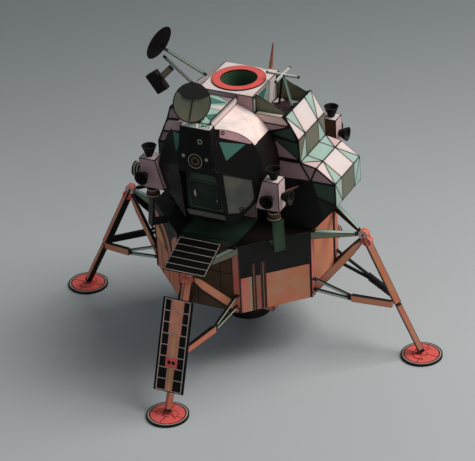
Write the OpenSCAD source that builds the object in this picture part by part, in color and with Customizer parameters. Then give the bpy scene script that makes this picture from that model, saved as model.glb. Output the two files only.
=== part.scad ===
// Lunar lander, a cut, folded and glued card model at 1:48.
// Millimetres, +Z up. The origin is on the table, midway between the four footpads.
// The front, with the porch and the ladder, faces -Y. The right-hand leg points along +X.

/* [Descent stage] */
// Width of the eight-sided box across its four leg sides
stage_w = 79.5; // [70:0.5:90]
// Width of each of the four leg sides
stage_side_w = 31; // [27:0.5:36]
// Height of the box
stage_h = 35.5; // [30:0.5:42]
// Height of the underside of the box above the table
stage_z = 30; // [26:0.5:36]
// Width of the corner posts beside each leg side
post_w = 3.4; // [2:0.1:4.5]
// Thickness of the corner posts
post_t = 0.8; // [0.5:0.1:1.5]
// Thickness of the card that the glued-on pieces are cut from
card = 0.6; // [0.5:0.1:1]
// Width of the square skirt under the box
skirt_w = 48.8; // [40:0.4:54]
// Height of the square skirt
skirt_h = 6; // [4:0.5:8]
// Width of the engine bell at its mouth
bell_d = 21; // [18:0.5:26]
// Width of the engine bell at its throat
bell_throat_d = 12; // [9:0.5:15]
// Height of the bell below the skirt
bell_h = 17.5; // [14:0.5:20]
// Wall of the engine bell
bell_wall = 0.8; // [0.6:0.1:1.5]
// Width of the plume deflectors at the corners of the box
deflector_w = 5.8; // [4:0.2:8]

/* [Legs] */
// Distance from the middle of the lander to the middle of each footpad
leg_reach = 88.8; // [80:0.4:98]
// Distance from the middle of the lander to the top joint of each leg
joint_reach = 60.6; // [56:0.2:66]
// Height of the top joint of each leg
joint_z = 60.1; // [55:0.1:64]
// Radius of the round plates of the top joint
joint_r = 2.3; // [1.8:0.1:3]
// Width of the folded leg strut above the knee
strut_w = 3.2; // [2.4:0.1:4]
// Width of the folded leg strut below the knee
strut_foot_w = 2.6; // [2:0.1:3.2]
// Height of the knee, where the side struts meet the leg
knee_z = 26.6; // [22:0.2:32]
// Width of the long braces
brace_w = 2.8; // [2.2:0.1:3]
// Height of the side struts
side_strut_w = 3.4; // [2.4:0.1:3.8]
// Width of the footpads
pad_d = 19.6; // [16:0.2:24]
// Thickness of the footpads
pad_t = 1.2; // [0.8:0.1:2.5]

/* [Porch and ladder] */
// Width of the porch grille
porch_w = 21; // [17:0.5:26]
// Length of the porch grille
porch_len = 19.4; // [16:0.2:24]
// Tilt of the porch grille
porch_tilt = 21.5; // [0:0.5:28]
// Width of the ladder
ladder_w = 15; // [10:0.2:17]
// Length of the ladder
ladder_len = 43.2; // [36:0.4:48]

/* [Ascent stage] */
// Width of the round cabin
cabin_d = 51.2; // [46:0.4:54]
// Height of the middle of the round cabin above the table
cabin_z = 99.5; // [97:0.5:102]
// Distance from the middle to the front and to the back of the middle block
block_half = 14.4; // [12.4:0.1:16]
// Width of the middle block
top_w = 27.2; // [26.4:0.2:29]
// Height of the top deck above the table
top_z = 129.3; // [127.8:0.1:132]
// Width of the docking ring
ring_d = 25; // [22:0.5:26.4]
// Width of the docking tunnel
tunnel_d = 16.8; // [12:0.2:19]
// Depth of the docking tunnel
tunnel_depth = 16; // [10:0.5:22]
// Height of the trapezoid thruster boxes
quad_h = 14.9; // [12:0.1:17]
// Depth of the thruster boxes from front to back
quad_depth = 7; // [5:0.2:9]
// Width of the thruster nozzles at their mouths
nozzle_d = 7; // [5:0.2:8]

/* [Antennas] */
// Width of the radar dish
radar_d = 18; // [15:0.2:21]
// Width of the steerable dish
dish_d = 17; // [14:0.2:20]
// Length of each arm of the cross antenna
cross_arm = 16.4; // [12:0.2:19]
// Height of the spike antenna above the top deck
spike_h = 13.2; // [9:0.2:17]

/* [Hidden] */
turn = [-90, 0, 90, 180];

half_w = stage_w/2;
half_side = stage_side_w/2;
facet_r = (half_w + half_side)/sqrt(2);
stage_top = stage_z + stage_h;
deck_top = stage_top + 1.1;
bay_z = stage_top + 0.7;
clear = 0.02;
cabin_r = cabin_d/2;
block_x = top_w/2;
quad_z = 100 - quad_h;
tray_z = 117.3;

// One bar with a square section from point p to point q, turned on its edge
module bar(p, q, w) {
    d = q - p;
    len = norm(d);
    translate(p) rotate([0, acos(d[2]/len), atan2(d[1], d[0])]) rotate(45)
        translate([-w/2, -w/2, 0]) cube([w, w, len]);
}

// One slanting bar through two or more stations, with ends that face along X and sit flat on their neighbours
// A station is a point and the [width, height] of the bar there
module slant_run(stations) {
    n = len(stations);
    polyhedron(
        points = [for (t = stations, s = [[-1, -1], [1, -1], [1, 1], [-1, 1]])
            [t[0][0], t[0][1] + s[0]*t[1][0]/2, t[0][2] + s[1]*t[1][1]/2]],
        faces = concat([[3, 2, 1, 0]], [[4*n - 4, 4*n - 3, 4*n - 2, 4*n - 1]],
            [for (i = [0:n - 2], k = [0:3]) let (a = 4*i + k, b = 4*i + (k + 1) % 4) [b, b + 4, a + 4, a]]));
}

module slant(p, q, e1, e2) slant_run([[p, e1], [q, e2]]);

// A side outline of [x, z] points, pulled out from y0 to y1
module side_outline(y0, y1, outline) {
    translate([0, y1, 0]) rotate([90, 0, 0]) linear_extrude(y1 - y0) polygon(outline);
}

// A side outline of [y, z] points, pulled out from -half to half along X
module front_outline(half, outline) {
    rotate([90, 0, 90]) translate([0, 0, -half]) linear_extrude(2*half) polygon(outline);
}

// Everything beyond the plane n.p = d
module beyond(n, d) {
    u = n/norm(n);
    translate(u*d/norm(n)) rotate([0, acos(u[2]), atan2(u[1], u[0])]) translate([-300, -300, 0]) cube(600);
}

module stage_outline() {
    polygon([[half_w, -half_side], [half_w, half_side], [half_side, half_w], [-half_side, half_w],
        [-half_w, half_side], [-half_w, -half_side], [-half_side, -half_w], [half_side, -half_w]]);
}

module descent_stage() color([0.72, 0.45, 0.34])
    translate([0, 0, stage_z]) linear_extrude(stage_h) stage_outline();

module corner_posts() color([0.76, 0.48, 0.38])
    for (a = turn, s = [-1, 1]) rotate(a)
        translate([half_w + clear, s*(half_side - post_w/2) - post_w/2, stage_z]) cube([post_t, post_w, stage_h]);

module base_skirt() color([0.8, 0.5, 0.42])
    translate([-skirt_w/2, -skirt_w/2, stage_z - clear - skirt_h]) cube([skirt_w, skirt_w, skirt_h]);

module engine_bell() color([0.05, 0.05, 0.06])
    translate([0, 0, stage_z - skirt_h - 2*clear - bell_h]) difference() {
        cylinder(d1 = bell_d, d2 = bell_throat_d, h = bell_h, $fn = 64);
        translate([0, 0, -0.01])
            cylinder(d1 = bell_d - 2*bell_wall, d2 = bell_throat_d - 2*bell_wall, h = bell_h - bell_wall, $fn = 64);
    }

// The deck lies on the box in front of the cabin and rises to meet the porch
module porch_deck() color([0.15, 0.2, 0.17])
    intersection() {
        front_outline(half_side, [[-half_w - 7, 68.4], [-half_w - 7, 69.5], [-half_w + 1, deck_top],
            [-block_half - 0.6, deck_top], [-block_half - 0.6, stage_top + clear], [-half_w - 0.2, stage_top + clear]]);
        linear_extrude(100) polygon([[-porch_w/2, -half_w - 8], [porch_w/2, -half_w - 8], [half_side - 1, -half_w + 2],
            [half_side - 1, 0], [1 - half_side, 0], [1 - half_side, -half_w + 2]]);
    }

module porch_grille() color([0.06, 0.06, 0.06])
    translate([0, -half_w - 7.06, 69]) rotate([porch_tilt, 0, 0])
        translate([-porch_w/2, -porch_len, 0]) cube([porch_w, porch_len, card]);

// The joint of a leg, its knee and its foot, for the leg that points along +X
joint = [joint_reach, 0, joint_z];
foot = [leg_reach, 0, pad_t + clear];
knee_share = (joint_z - knee_z)/(joint_z - foot[2]);
knee = joint + knee_share*(foot - joint);
leg_dir = (foot - joint)/norm(foot - joint);
lower_joint = joint + 3.7*leg_dir;

// The strut ends above in two round plates, one under the other
module leg_strut() color([0.77, 0.48, 0.38]) {
    for (c = [joint, lower_joint])
        translate(c) rotate([90, 0, 0]) cylinder(r = joint_r, h = 2*1.6, center = true, $fn = 32);
    bar(joint, knee, strut_w);
    bar(knee, foot + [0, 0, 0.9], strut_foot_w);
}

module leg_outrigger() color([0.72, 0.8, 0.74])
    for (s = [-1, 1])
        slant([half_w + post_t + 2*clear, s*(half_side - post_w/2), stage_top - 2.3],
            joint + [-joint_r - 0.15, s*1.3, 0.2], [3, 3.6], [1.6, 1.6]);

// The braces keep their width for most of their length and narrow towards the joint
module leg_braces() color([0.77, 0.48, 0.38])
    for (s = [-1, 1]) {
        root = [half_w + post_t + 2*clear, s*(half_side - post_w - 0.3), stage_z + 3.2];
        tip = [lower_joint[0] - joint_r - 0.35, s*1.4, lower_joint[2] - 0.6];
        slant_run([[root, [0.9*brace_w, 2*brace_w]], [root + 0.84*(tip - root), [0.8*brace_w, 1.9*brace_w]],
            [tip, [1.9, 2.6]]]);
    }

// Each side has a frame of two thin bars on the box and one strut from its tip to the knee
apex = [58.2, 10.3, knee_z + 4.4];

module leg_side_struts() color([0.77, 0.48, 0.38])
    for (s = [-1, 1]) {
        slant([apex[0] + 0.05, s*apex[1], apex[2]], [knee[0] - 1.3, s*2.95, knee_z + 0.5],
            [2, side_strut_w], [1.8, 0.95*side_strut_w]);
        for (z = [[9.6, 0.75], [3.8, -0.75]])
            slant([half_w + post_t + 2*clear, s*(half_side - post_w/2), stage_z + z[0]],
                [apex[0], s*apex[1], apex[2] + z[1]], [1.2, 1.2], [1.2, 1.2]);
    }

module footpad() color([0.87, 0.41, 0.36])
    translate([leg_reach, 0, 0]) cylinder(d = pad_d, h = pad_t, $fn = 64);

// The ladder stands on the front leg and leans away from it towards the porch
module ladder() color([0.06, 0.06, 0.06])
    rotate(-90) translate(foot - 10.6*leg_dir) rotate([0, atan2(-leg_dir[0], -leg_dir[2]) + 4.5, 0])
        translate([strut_w/sqrt(2) + 0.3, -ladder_w/2, 0]) cube([card, ladder_w, ladder_len]);

// Each deflector hangs outside its corner facet on a tab glued to the facet
module plume_deflectors() color([0.1, 0.14, 0.12])
    for (a = [45, 135, 225, 315]) rotate(a)
        side_outline(-deflector_w/2, deflector_w/2, [[facet_r + 5.6, 78.6], [facet_r + 6.4, 78.6],
            [facet_r + 7.8, 63], [facet_r + 7, 63], [facet_r + 6.86, 64.4], [facet_r + clear, 64.4],
            [facet_r + clear, 65.2], [facet_r + 6.8, 65.2]]);

// Outlines of the slot between the two halves of the cabin front, seen from the front and from the side
slot_outline = [[-7.6, 140], [-7.6, 126], [-9.1, 108], [-9.1, 104], [-10.3, 77], [-10.3, 60],
    [10.3, 60], [10.3, 77], [9.1, 104], [9.1, 108], [7.6, 126], [7.6, 140]];
slot_depth = [[-70, 140], [-41.5, 140], [-41.5, 102.6], [-40.88, 102.3], [-37.68, 77], [-37.2, 73], [-37.2, 60], [-70, 60]];

module cabin() color([0.07, 0.07, 0.08])
    difference() {
        translate([0, -block_half - clear, cabin_z]) rotate([90, 0, 0])
            cylinder(d = cabin_d, h = 38, $fn = 96);
        for (s = [-1, 1]) {
            beyond([s*0.69, -0.63, 0.36], 74.6);
            beyond([s*0.541, -0.824, -0.17], 25.7);
        }
        intersection() {
            side_outline(-70, 0, slot_outline);
            front_outline(30, slot_depth);
        }
    }

module front_column() color([0.06, 0.06, 0.06])
    intersection() {
        side_outline(-70, -41.5 - clear, [[-7.5, 126.1], [-9, 108], [-8.6, 102.6], [8.6, 102.6], [9, 108], [7.5, 126.1]]);
        front_outline(30, [[-41, 126.1], [-46.2, 126.1], [-48, 108], [-46.6, 104], [-41, 102.8]]);
    }

module front_hatch() color([0.2, 0.28, 0.25])
    intersection() {
        side_outline(-70, 0, [[-8.4, 102], [-10.2, 77], [10.2, 77], [8.4, 102]]);
        front_outline(30, [[-40.92, 102], [-41.5, 102], [-38.75, 80.6], [-39.4, 80.4], [-39, 77.3], [-37.72, 77]]);
    }

module middle_block() color([0.86, 0.82, 0.8])
    difference() {
        translate([-block_x, -block_half, stage_top + clear]) cube([top_w, 2*block_half, top_z - stage_top - clear]);
        translate([0, 0, top_z - tunnel_depth]) cylinder(d = tunnel_d, h = tunnel_depth + 1, $fn = 64);
    }

module docking_ring() color([0.87, 0.41, 0.36])
    translate([0, 0, top_z + clear]) difference() {
        cylinder(d = ring_d, h = card, $fn = 64);
        translate([0, 0, -1]) cylinder(d = tunnel_d, h = 3, $fn = 64);
    }

module right_bay_upper() color([0.86, 0.82, 0.8])
    side_outline(-block_half, block_half, [[block_x + clear, 100.1], [36.1, 100.1], [35.7, 111.3], [32.2, tray_z],
        [block_x + clear, tray_z]]);

module right_bay_lower() color([0.86, 0.82, 0.8])
    side_outline(-block_half, block_half, [[block_x + clear, bay_z], [42, bay_z], [46.8, 72], [53.4, 80], [53.1, 92],
        [44, 98.6], [36.1, 100.08], [block_x + clear, 100.08]]);

module tray_lip() color([0.86, 0.82, 0.8])
    side_outline(-block_half, block_half, [[31.2, tray_z + clear], [32.2, tray_z + clear], [29.4, 122], [28.7, 122]]);

// A card triangle and the narrow shelf outside it close each end of the antenna tray
module tray_gussets() color([0.36, 0.36, 0.29])
    for (s = [-1, 1]) {
        side_outline(s*(block_half - 3.2) - 0.3, s*(block_half - 3.2) + 0.3,
            [[block_x + clear, 129.2], [block_x + clear, tray_z + clear], [30.9, tray_z + clear], [28.5, 122.4]]);
        side_outline(s*(block_half - 1.47) - 1.38, s*(block_half - 1.47) + 1.38,
            [[block_x + clear, tray_z + clear], [30.9, tray_z + clear], [28.6, 121.4], [block_x + clear, 121.2]]);
    }

module left_tank_bay() color([0.86, 0.82, 0.8])
    side_outline(-block_half, block_half, [[-block_x - clear, bay_z], [-30, bay_z], [-36.3, 73], [-36.2, 98],
        [-31, 110.5], [-29, 117], [-23.8, 121.6], [-block_x - clear, 129.2]]);

module aft_bay() color([0.86, 0.82, 0.8])
    intersection() {
        front_outline(22.4, [[block_half + clear, bay_z], [24, bay_z], [29, 72], [29, 103], [23, 111],
            [block_half + clear, 113]]);
        translate([-30, 0, 0]) cube([60, 60, 130]);
    }

// A flat box along the top of the round cabin, from the column to the middle block
module roof_spine() color([0.66, 0.76, 0.7])
    difference() {
        translate([-8, -41.5, 121]) cube([13.2, 41.5 - block_half - clear, 6]);
        translate([0, 0, cabin_z]) rotate([90, 0, 0]) cylinder(r = cabin_r + 0.08, h = 60, $fn = 96);
    }

module roof_fin() color([0.86, 0.82, 0.8])
    translate([5.22, -41.4, cabin_z + sqrt(pow(cabin_r, 2) - pow(5.2, 2)) + 0.08])
        cube([card, 41.4 - block_half - clear, 4]);

// Back face, front face, and the [x, z] outline of the boxes
quad_y = 29;
quad_outline = [[22.9, quad_z], [34.9, quad_z], [34.9, 100], [26.9, 100]];

module thruster_boxes() color([0.86, 0.82, 0.8])
    for (x = [0, 1], y = [0, 1]) mirror([x, 0, 0]) mirror([0, y, 0])
        side_outline(quad_y, quad_y + quad_depth, quad_outline);

// One cone from its narrow end to its mouth
module cone(len) cylinder(d1 = 3, d2 = nozzle_d, h = len, $fn = 32);

module thruster_nozzles() color([0.06, 0.06, 0.06])
    for (x = [0, 1], y = [0, 1]) mirror([x, 0, 0]) mirror([0, y, 0]) {
        translate([31.2, quad_y + 3.6, 100 + clear]) cone(5.2);
        translate([34.9 + clear, quad_y + 3.6, 92]) rotate([0, 90, 0]) cone(4.4);
        translate([30.4 + 2*x, quad_y + quad_depth + clear, 91.6]) rotate([-90, 0, 0]) cone(4);
    }

module thruster_stacks() color([0.6, 0.6, 0.6])
    for (x = [-1, 1], y = [-1, 1])
        translate([x*30.6, y*(quad_y + 3.6), quad_z - clear - 5.6]) {
            cylinder(d = 6.4, h = 1.6, $fn = 32);
            translate([0, 0, 1.6]) cylinder(d = 4.6, h = 1.4, $fn = 32);
            translate([0, 0, 3]) cylinder(d = 5.6, h = 1.2, $fn = 32);
            translate([0, 0, 4.2]) cylinder(d = 4, h = 1.4, $fn = 32);
        }

module thruster_struts() color([0.5, 0.46, 0.44])
    for (s = [-1, 1])
        bar([s*34.2, -quad_y + 0.6, 91.8], [s*35.4, -block_half - 0.7, 88.2], 0.8);

module radar_tray() color([0.7, 0.8, 0.74])
    translate([-7.5, -46.4, 126.1 + clear]) cube([15, 46.4 - 41.5 - clear, card]);

// A folded foot on the spine that carries the radar dish
module radar_mount() color([0.6, 0.7, 0.64])
    translate([-0.9, 0, 0]) front_outline(1.6, [[-41.3, 127.02], [-37.6, 127.02], [-43.3, 140.2], [-45.1, 137]]);

module radar_dish() color([0.4, 0.4, 0.33])
    translate([-0.9, -45, 138.3]) rotate([60, 0, 4]) cylinder(d1 = radar_d - 3, d2 = radar_d, h = 1.2, $fn = 64);

module steerable_dish() color([0.06, 0.06, 0.06])
    translate([-34.6, -8, 144.5]) rotate([0, acos(0.674), atan2(-0.478, -0.564)]) translate([0, 0, -1]) difference() {
        cylinder(d1 = 7, d2 = dish_d, h = 2.6, $fn = 64);
        translate([0, 0, 0.7]) cylinder(d1 = 6.4, d2 = dish_d - 0.4, h = 2, $fn = 64);
    }

module dish_boom() color([0.55, 0.62, 0.56]) {
    bar([-33.2, -8.55, 143.05], [-15.4, -2, 129.4], 1.1);
    bar([-34, -8, 138.9], [-21, -4.6, 125], 1.1);
}

module dish_arm() color([0.42, 0.42, 0.3])
    translate([-33.3, -7, 130.3]) rotate([0, -47, 0]) cube([7.6, 1.2, 3], center = true);

module dish_box() color([0.05, 0.05, 0.06])
    translate([-38.5, -6.8, 124.4]) rotate([0, 53.9, 0]) cube([10.2, 3, 6.2], center = true);

// Two arms in a cross and two legs that stand in the tray
module cross_antenna() color([0.7, 0.76, 0.72]) {
    c = [20.3, 4, 133];
    translate(c) {
        cube([cross_arm, 1, 1], center = true);
        cube([1, cross_arm, 1], center = true);
    }
    bar([25.5, 2, tray_z + 0.55], c + [0.3, 0, -0.2], 1);
    bar([17.6, 5, tray_z + 0.55], c + [-0.3, 0, -0.2], 1);
}

module spike_antenna() color([0.6, 0.5, 0.46])
    translate([7.3, block_half + 1.32, 118]) rotate([0, 7.6, 0])
        cylinder(d1 = 2.6, d2 = 0.6, h = top_z - 118 + spike_h, $fn = 24);

descent_stage();
corner_posts();
base_skirt();
engine_bell();
porch_deck();
porch_grille();
ladder();
rotate(-90) leg_strut();  // front_leg_strut
leg_strut();  // right_leg_strut
rotate(90) leg_strut();  // rear_leg_strut
rotate(180) leg_strut();  // left_leg_strut
rotate(-90) leg_outrigger();  // front_leg_outrigger
leg_outrigger();  // right_leg_outrigger
rotate(90) leg_outrigger();  // rear_leg_outrigger
rotate(180) leg_outrigger();  // left_leg_outrigger
rotate(-90) leg_braces();  // front_leg_braces
leg_braces();  // right_leg_braces
rotate(90) leg_braces();  // rear_leg_braces
rotate(180) leg_braces();  // left_leg_braces
rotate(-90) leg_side_struts();  // front_leg_side_struts
leg_side_struts();  // right_leg_side_struts
rotate(90) leg_side_struts();  // rear_leg_side_struts
rotate(180) leg_side_struts();  // left_leg_side_struts
rotate(-90) footpad();  // front_footpad
footpad();  // right_footpad
rotate(90) footpad();  // rear_footpad
rotate(180) footpad();  // left_footpad
plume_deflectors();
cabin();
front_column();
front_hatch();
middle_block();
docking_ring();
right_bay_upper();
right_bay_lower();
tray_lip();
tray_gussets();
left_tank_bay();
aft_bay();
roof_spine();
roof_fin();
thruster_boxes();
thruster_nozzles();
thruster_stacks();
thruster_struts();
radar_tray();
radar_mount();
radar_dish();
steerable_dish();
dish_boom();
dish_arm();
dish_box();
cross_antenna();
spike_antenna();
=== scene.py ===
import math

import bmesh
import bpy
import numpy as np
from mathutils import Matrix, Vector
from mathutils.geometry import tessellate_polygon


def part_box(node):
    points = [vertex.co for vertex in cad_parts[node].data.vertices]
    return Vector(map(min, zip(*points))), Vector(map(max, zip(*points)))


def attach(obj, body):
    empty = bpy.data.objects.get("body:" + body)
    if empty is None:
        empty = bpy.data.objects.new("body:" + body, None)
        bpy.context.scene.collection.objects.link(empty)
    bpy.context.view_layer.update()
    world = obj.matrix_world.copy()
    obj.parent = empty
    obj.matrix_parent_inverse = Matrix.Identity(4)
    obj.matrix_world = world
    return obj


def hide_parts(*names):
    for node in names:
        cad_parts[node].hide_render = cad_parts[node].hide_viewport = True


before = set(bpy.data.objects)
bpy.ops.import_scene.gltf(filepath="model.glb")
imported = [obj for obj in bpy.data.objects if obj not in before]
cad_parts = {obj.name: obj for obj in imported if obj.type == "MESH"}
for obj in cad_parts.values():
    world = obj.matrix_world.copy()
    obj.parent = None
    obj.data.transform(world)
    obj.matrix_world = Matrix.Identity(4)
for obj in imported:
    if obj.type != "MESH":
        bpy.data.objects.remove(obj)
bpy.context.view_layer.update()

bl_info = {
    "name": "Card Lunar Lander",
    "version": (1, 0, 0),
    "blender": (4, 5, 0),
    "location": "3D View > Sidebar > Lander",
    "description": "Prints, folds and glues the card sheets of a lunar lander model",
    "category": "Object",
}

# Colours of the card sheets, as a person would mix them. Most are print; on faces turned from the light and on
# undersides, mauve, umber, black and the near-black soot tone are painted shade.
PRINT_AND_SHADE_COLOURS = {
    "white": (0.925, 0.870, 0.855), "blush": (0.900, 0.790, 0.780), "mauve": (0.700, 0.580, 0.600),
    "mint": (0.680, 0.790, 0.745), "teal": (0.300, 0.520, 0.480), "olive": (0.470, 0.470, 0.400),
    "cream": (0.900, 0.830, 0.760), "moss": (0.215, 0.300, 0.245), "forest": (0.100, 0.150, 0.120),
    "slate": (0.400, 0.410, 0.385), "dusk": (0.200, 0.195, 0.195), "black": (0.045, 0.040, 0.038),
    "soot": (0.100, 0.075, 0.068), "umber": (0.360, 0.270, 0.200), "copper": (0.800, 0.550, 0.450),
    "orange": (0.900, 0.590, 0.480), "rose": (0.850, 0.520, 0.470), "coral": (0.900, 0.400, 0.370),
    "sage": (0.560, 0.600, 0.550), "gold": (0.850, 0.640, 0.420), "clay": (0.640, 0.440, 0.380),
    "plum": (0.230, 0.150, 0.160), "bone": (0.700, 0.640, 0.590),
    "leaf": (0.270, 0.400, 0.300), "pane": (0.250, 0.440, 0.410), "door": (0.120, 0.170, 0.145),
}


def linear(rgb):
    """A screen colour as light values: the usual curve, x/12.92 below 0.04045, else ((x + 0.055)/1.055)^2.4."""
    c = np.asarray(rgb[:3], float)
    return np.where(c <= 0.04045, c / 12.92, ((c + 0.055) / 1.055) ** 2.4)


def box_mm(node):
    lo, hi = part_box(node)
    return np.array(lo) * 1000, np.array(hi) * 1000


def unit(v):
    v = np.asarray(v, float)
    return v / np.linalg.norm(v)


# ---------------------------------------------------------------- card surfaces

def edge_distance(points, ends_a, ends_b):
    """Distance of each point to the nearest of some straight edges: the point less its foot on the edge."""
    if not len(ends_a):
        return np.full(len(points), 9.0)
    along = ends_b - ends_a
    share = ((points[:, None] - ends_a) * along).sum(2) / np.maximum((along * along).sum(1), 1e-9)
    foot = ends_a + np.clip(share, 0, 1)[..., None] * along
    return np.linalg.norm(points[:, None] - foot, axis=2).min(1)


def panel(corners, colour, inked=None, step=3.0, outline=None):
    """One flat card panel, as patches of (points, faces, colour, distance to the folds).

    The first parameter walks round the outline and the second goes from the outline, at 0, to the middle, at 1:
    P(s, t) = outline(s) + t * (middle - outline(s)). The panel ends in a fan at its middle.
    """
    c = np.asarray(corners, float)
    nxt = np.roll(c, -1, 0)
    normal = unit(np.cross(c - c[0], nxt - c[0]).sum(0))
    lengths = np.linalg.norm(nxt - c, axis=1)
    inked = np.ones(len(c), bool) if inked is None else np.asarray(inked, bool)
    edges = (c[inked], nxt[inked]) if outline is None else outline
    middle = c.mean(0)
    inward = np.cross(normal, (nxt - c) / lengths[:, None])
    reach = ((middle - c) * inward).sum(1)
    if reach.min() < 0.02 and len(c) > 3:
        patches = []
        for tri in tessellate_polygon([[Vector(p) for p in c]]):
            t = c[list(tri)]
            area = np.cross(t[1] - t[0], t[2] - t[0])
            if np.linalg.norm(area) > 1e-4:
                patches += panel(t if area @ normal > 0 else t[::-1], colour, outline=edges, step=step)
        return patches
    count = np.maximum(1, np.ceil(lengths / step - 1e-6)).astype(int)
    walk = np.concatenate([a + (b - a) * (np.arange(n) / n)[:, None] for a, b, n in zip(c, nxt, count)])
    inner = np.array([0.0, 0.25, 0.6, 1.2, 2.4]) / max(reach.min(), 0.02)
    inner = inner[inner < 0.8]
    rings = walk + inner[:, None, None] * (middle - walk)
    n, m = len(walk), len(inner)
    points = np.concatenate([rings.reshape(-1, 3), middle[None]])
    i = np.arange(n)
    j = (i + 1) % n
    rows = (np.arange(m - 1) * n)[:, None]
    quads = np.stack([rows + i, rows + j, rows + n + j, rows + n + i], 2).reshape(-1, 4)
    last = (m - 1) * n
    fan = np.stack([last + i, last + j, np.full(n, len(points) - 1)], 1)
    return [(points, (quads, fan), colour, edge_distance(points, *edges))]


def laid(corners, colour, facing, lift=0.05, ink=True):
    """A printed patch, laid on a panel as a closed sheet of its own: its face, its rim and its underside."""
    c = np.asarray(corners, float)
    facing = unit(facing)
    if np.cross(c - c[0], np.roll(c, -1, 0) - c[0]).sum(0) @ facing < 0:
        c = c[::-1]
    top, under = c + facing * lift, c - facing * 0.03
    flags = np.full(len(c), bool(ink))
    patches = panel(top, colour, flags, step=6) + panel(under[::-1], colour, flags, step=6)
    a, b = top, np.roll(top, -1, 0)
    ua, ub = under, np.roll(under, -1, 0)
    n = len(c)
    points = np.concatenate([ua, ub, b, a])
    i = np.arange(n)
    patches.append((points, (np.stack([i, i + n, i + 2 * n, i + 3 * n], 1), None), colour,
                    np.full(4 * n, 9.0)))
    return patches


def stroke(p, q, width, facing, colour="black", lift=0.07):
    """A ruled ink line between two points: a long thin patch."""
    p, q = np.asarray(p, float), np.asarray(q, float)
    side = unit(np.cross(unit(facing), q - p)) * width / 2
    return laid([p - side, q - side, q + side, p + side], colour, facing, lift, ink=False)


def frame_of(axis, toward=(0, 0, 1)):
    """Three unit vectors: one across, one as near as possible to the given direction, and the axis."""
    w = unit(axis)
    u = np.cross(toward, w)
    u = unit(u if np.linalg.norm(u) > 1e-6 else np.cross((0, 1, 0), w))
    return u, np.cross(w, u), w


def turned(profile, base, axis=(0, 0, 1), turns=64, toward=(0, 0, 1)):
    """A profile of (radius, height, colour of the stretch after it, inked) carried round an axis.

    P(a, s) = base + r(s) (cos a * u + sin a * v) + z(s) * axis, with s along the profile and a once round.
    The profile runs so that the outside lies on its right-hand side.
    """
    u, v, w = frame_of(axis, toward)
    a = np.arange(turns) * 2 * np.pi / turns
    ring = np.cos(a)[:, None] * u + np.sin(a)[:, None] * v
    patches = []
    for (r0, z0, colour, ink0), (r1, z1, _, ink1) in zip(profile[:-1], profile[1:]):
        length = math.hypot(r1 - r0, z1 - z0)
        stops = [0.0] + [d for d in (0.25, 0.6, 1.2) if d < length / 2]
        s = np.array(sorted(set(stops + [length / 2] + [length - d for d in stops]))) / length
        r, z = r0 + (r1 - r0) * s, z0 + (z1 - z0) * s
        points = np.asarray(base, float) + r[:, None, None] * ring + z[:, None, None] * w
        rim = np.minimum(np.where(ink0, s * length, 9.0), np.where(ink1, (1 - s) * length, 9.0))
        m = len(s)
        i = np.arange(turns)
        j = (i + 1) % turns
        rows = (np.arange(m - 1) * turns)[:, None]
        quads = np.stack([rows + i, rows + j, rows + turns + j, rows + turns + i], 2).reshape(-1, 4)
        patches.append((points.reshape(-1, 3), (quads, None), colour, np.repeat(rim, turns)))
    return patches


def spot(centre, facing, radius, colour, hole=0.0, lift=0.06, turns=36):
    """A printed disc or ring, laid on a panel as a low round sheet."""
    k = True
    profile = [(hole, -0.03, colour, False), (radius, -0.03, colour, False), (radius, lift, colour, k),
               (hole, lift, colour, k and hole > 0)]
    if hole > 0:
        profile.append((hole, -0.03, colour, False))
    return turned(profile, centre, facing, turns)


def folded_faces(node):
    """The flat faces of a folded CAD node, in mm: (corners, whether each edge is a fold, outward direction)."""
    bm = bmesh.new()
    bm.from_mesh(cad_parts[node].data)
    bmesh.ops.remove_doubles(bm, verts=bm.verts, dist=3e-6)
    bmesh.ops.dissolve_limit(bm, angle_limit=math.radians(0.6), verts=bm.verts, edges=bm.edges)
    faces = []
    for f in bm.faces:
        folds = [len(e.link_faces) < 2 or e.calc_face_angle(3.0) > math.radians(9) for e in f.edges]
        corners = np.array([loop.vert.co for loop in f.loops]) * 1000
        folds = [len(lp.edge.link_faces) < 2 or lp.edge.calc_face_angle(3.0) > math.radians(9)
                 for lp in f.loops]
        faces.append((corners, folds, np.array(f.normal)))
    bm.free()
    return faces


def folded(node, paint, skip=None, ink=1.0, lengthways=False):
    """Every face of a folded node as a card panel, in the colour that paint(outward direction, middle) names.

    ink is the width of its fold lines against the card's own, and is less on narrow struts. A strut is inked
    lengthways only: its short ends carry no line.
    """
    patches = []
    for corners, folds, out in folded_faces(node):
        middle = corners.mean(0)
        if skip and skip(out, middle):
            continue
        if lengthways:
            spans = np.linalg.norm(np.roll(corners, -1, 0) - corners, axis=1)
            folds = np.array(folds) & (spans > 0.35 * spans.max())
        patches += panel(corners, paint(out, middle), folds)
    return thinner(patches, ink)


def thinner(patches, ink):
    """The same patches with their fold lines drawn at ink times the width: every distance is divided by it."""
    return [(p, f, c, d / ink) for p, f, c, d in patches]


def turned_about_z(patches, degrees):
    a = math.radians(degrees)
    m = np.array([[math.cos(a), -math.sin(a), 0], [math.sin(a), math.cos(a), 0], [0, 0, 1]])
    return [(p @ m.T, f, c, d) for p, f, c, d in patches]


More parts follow.
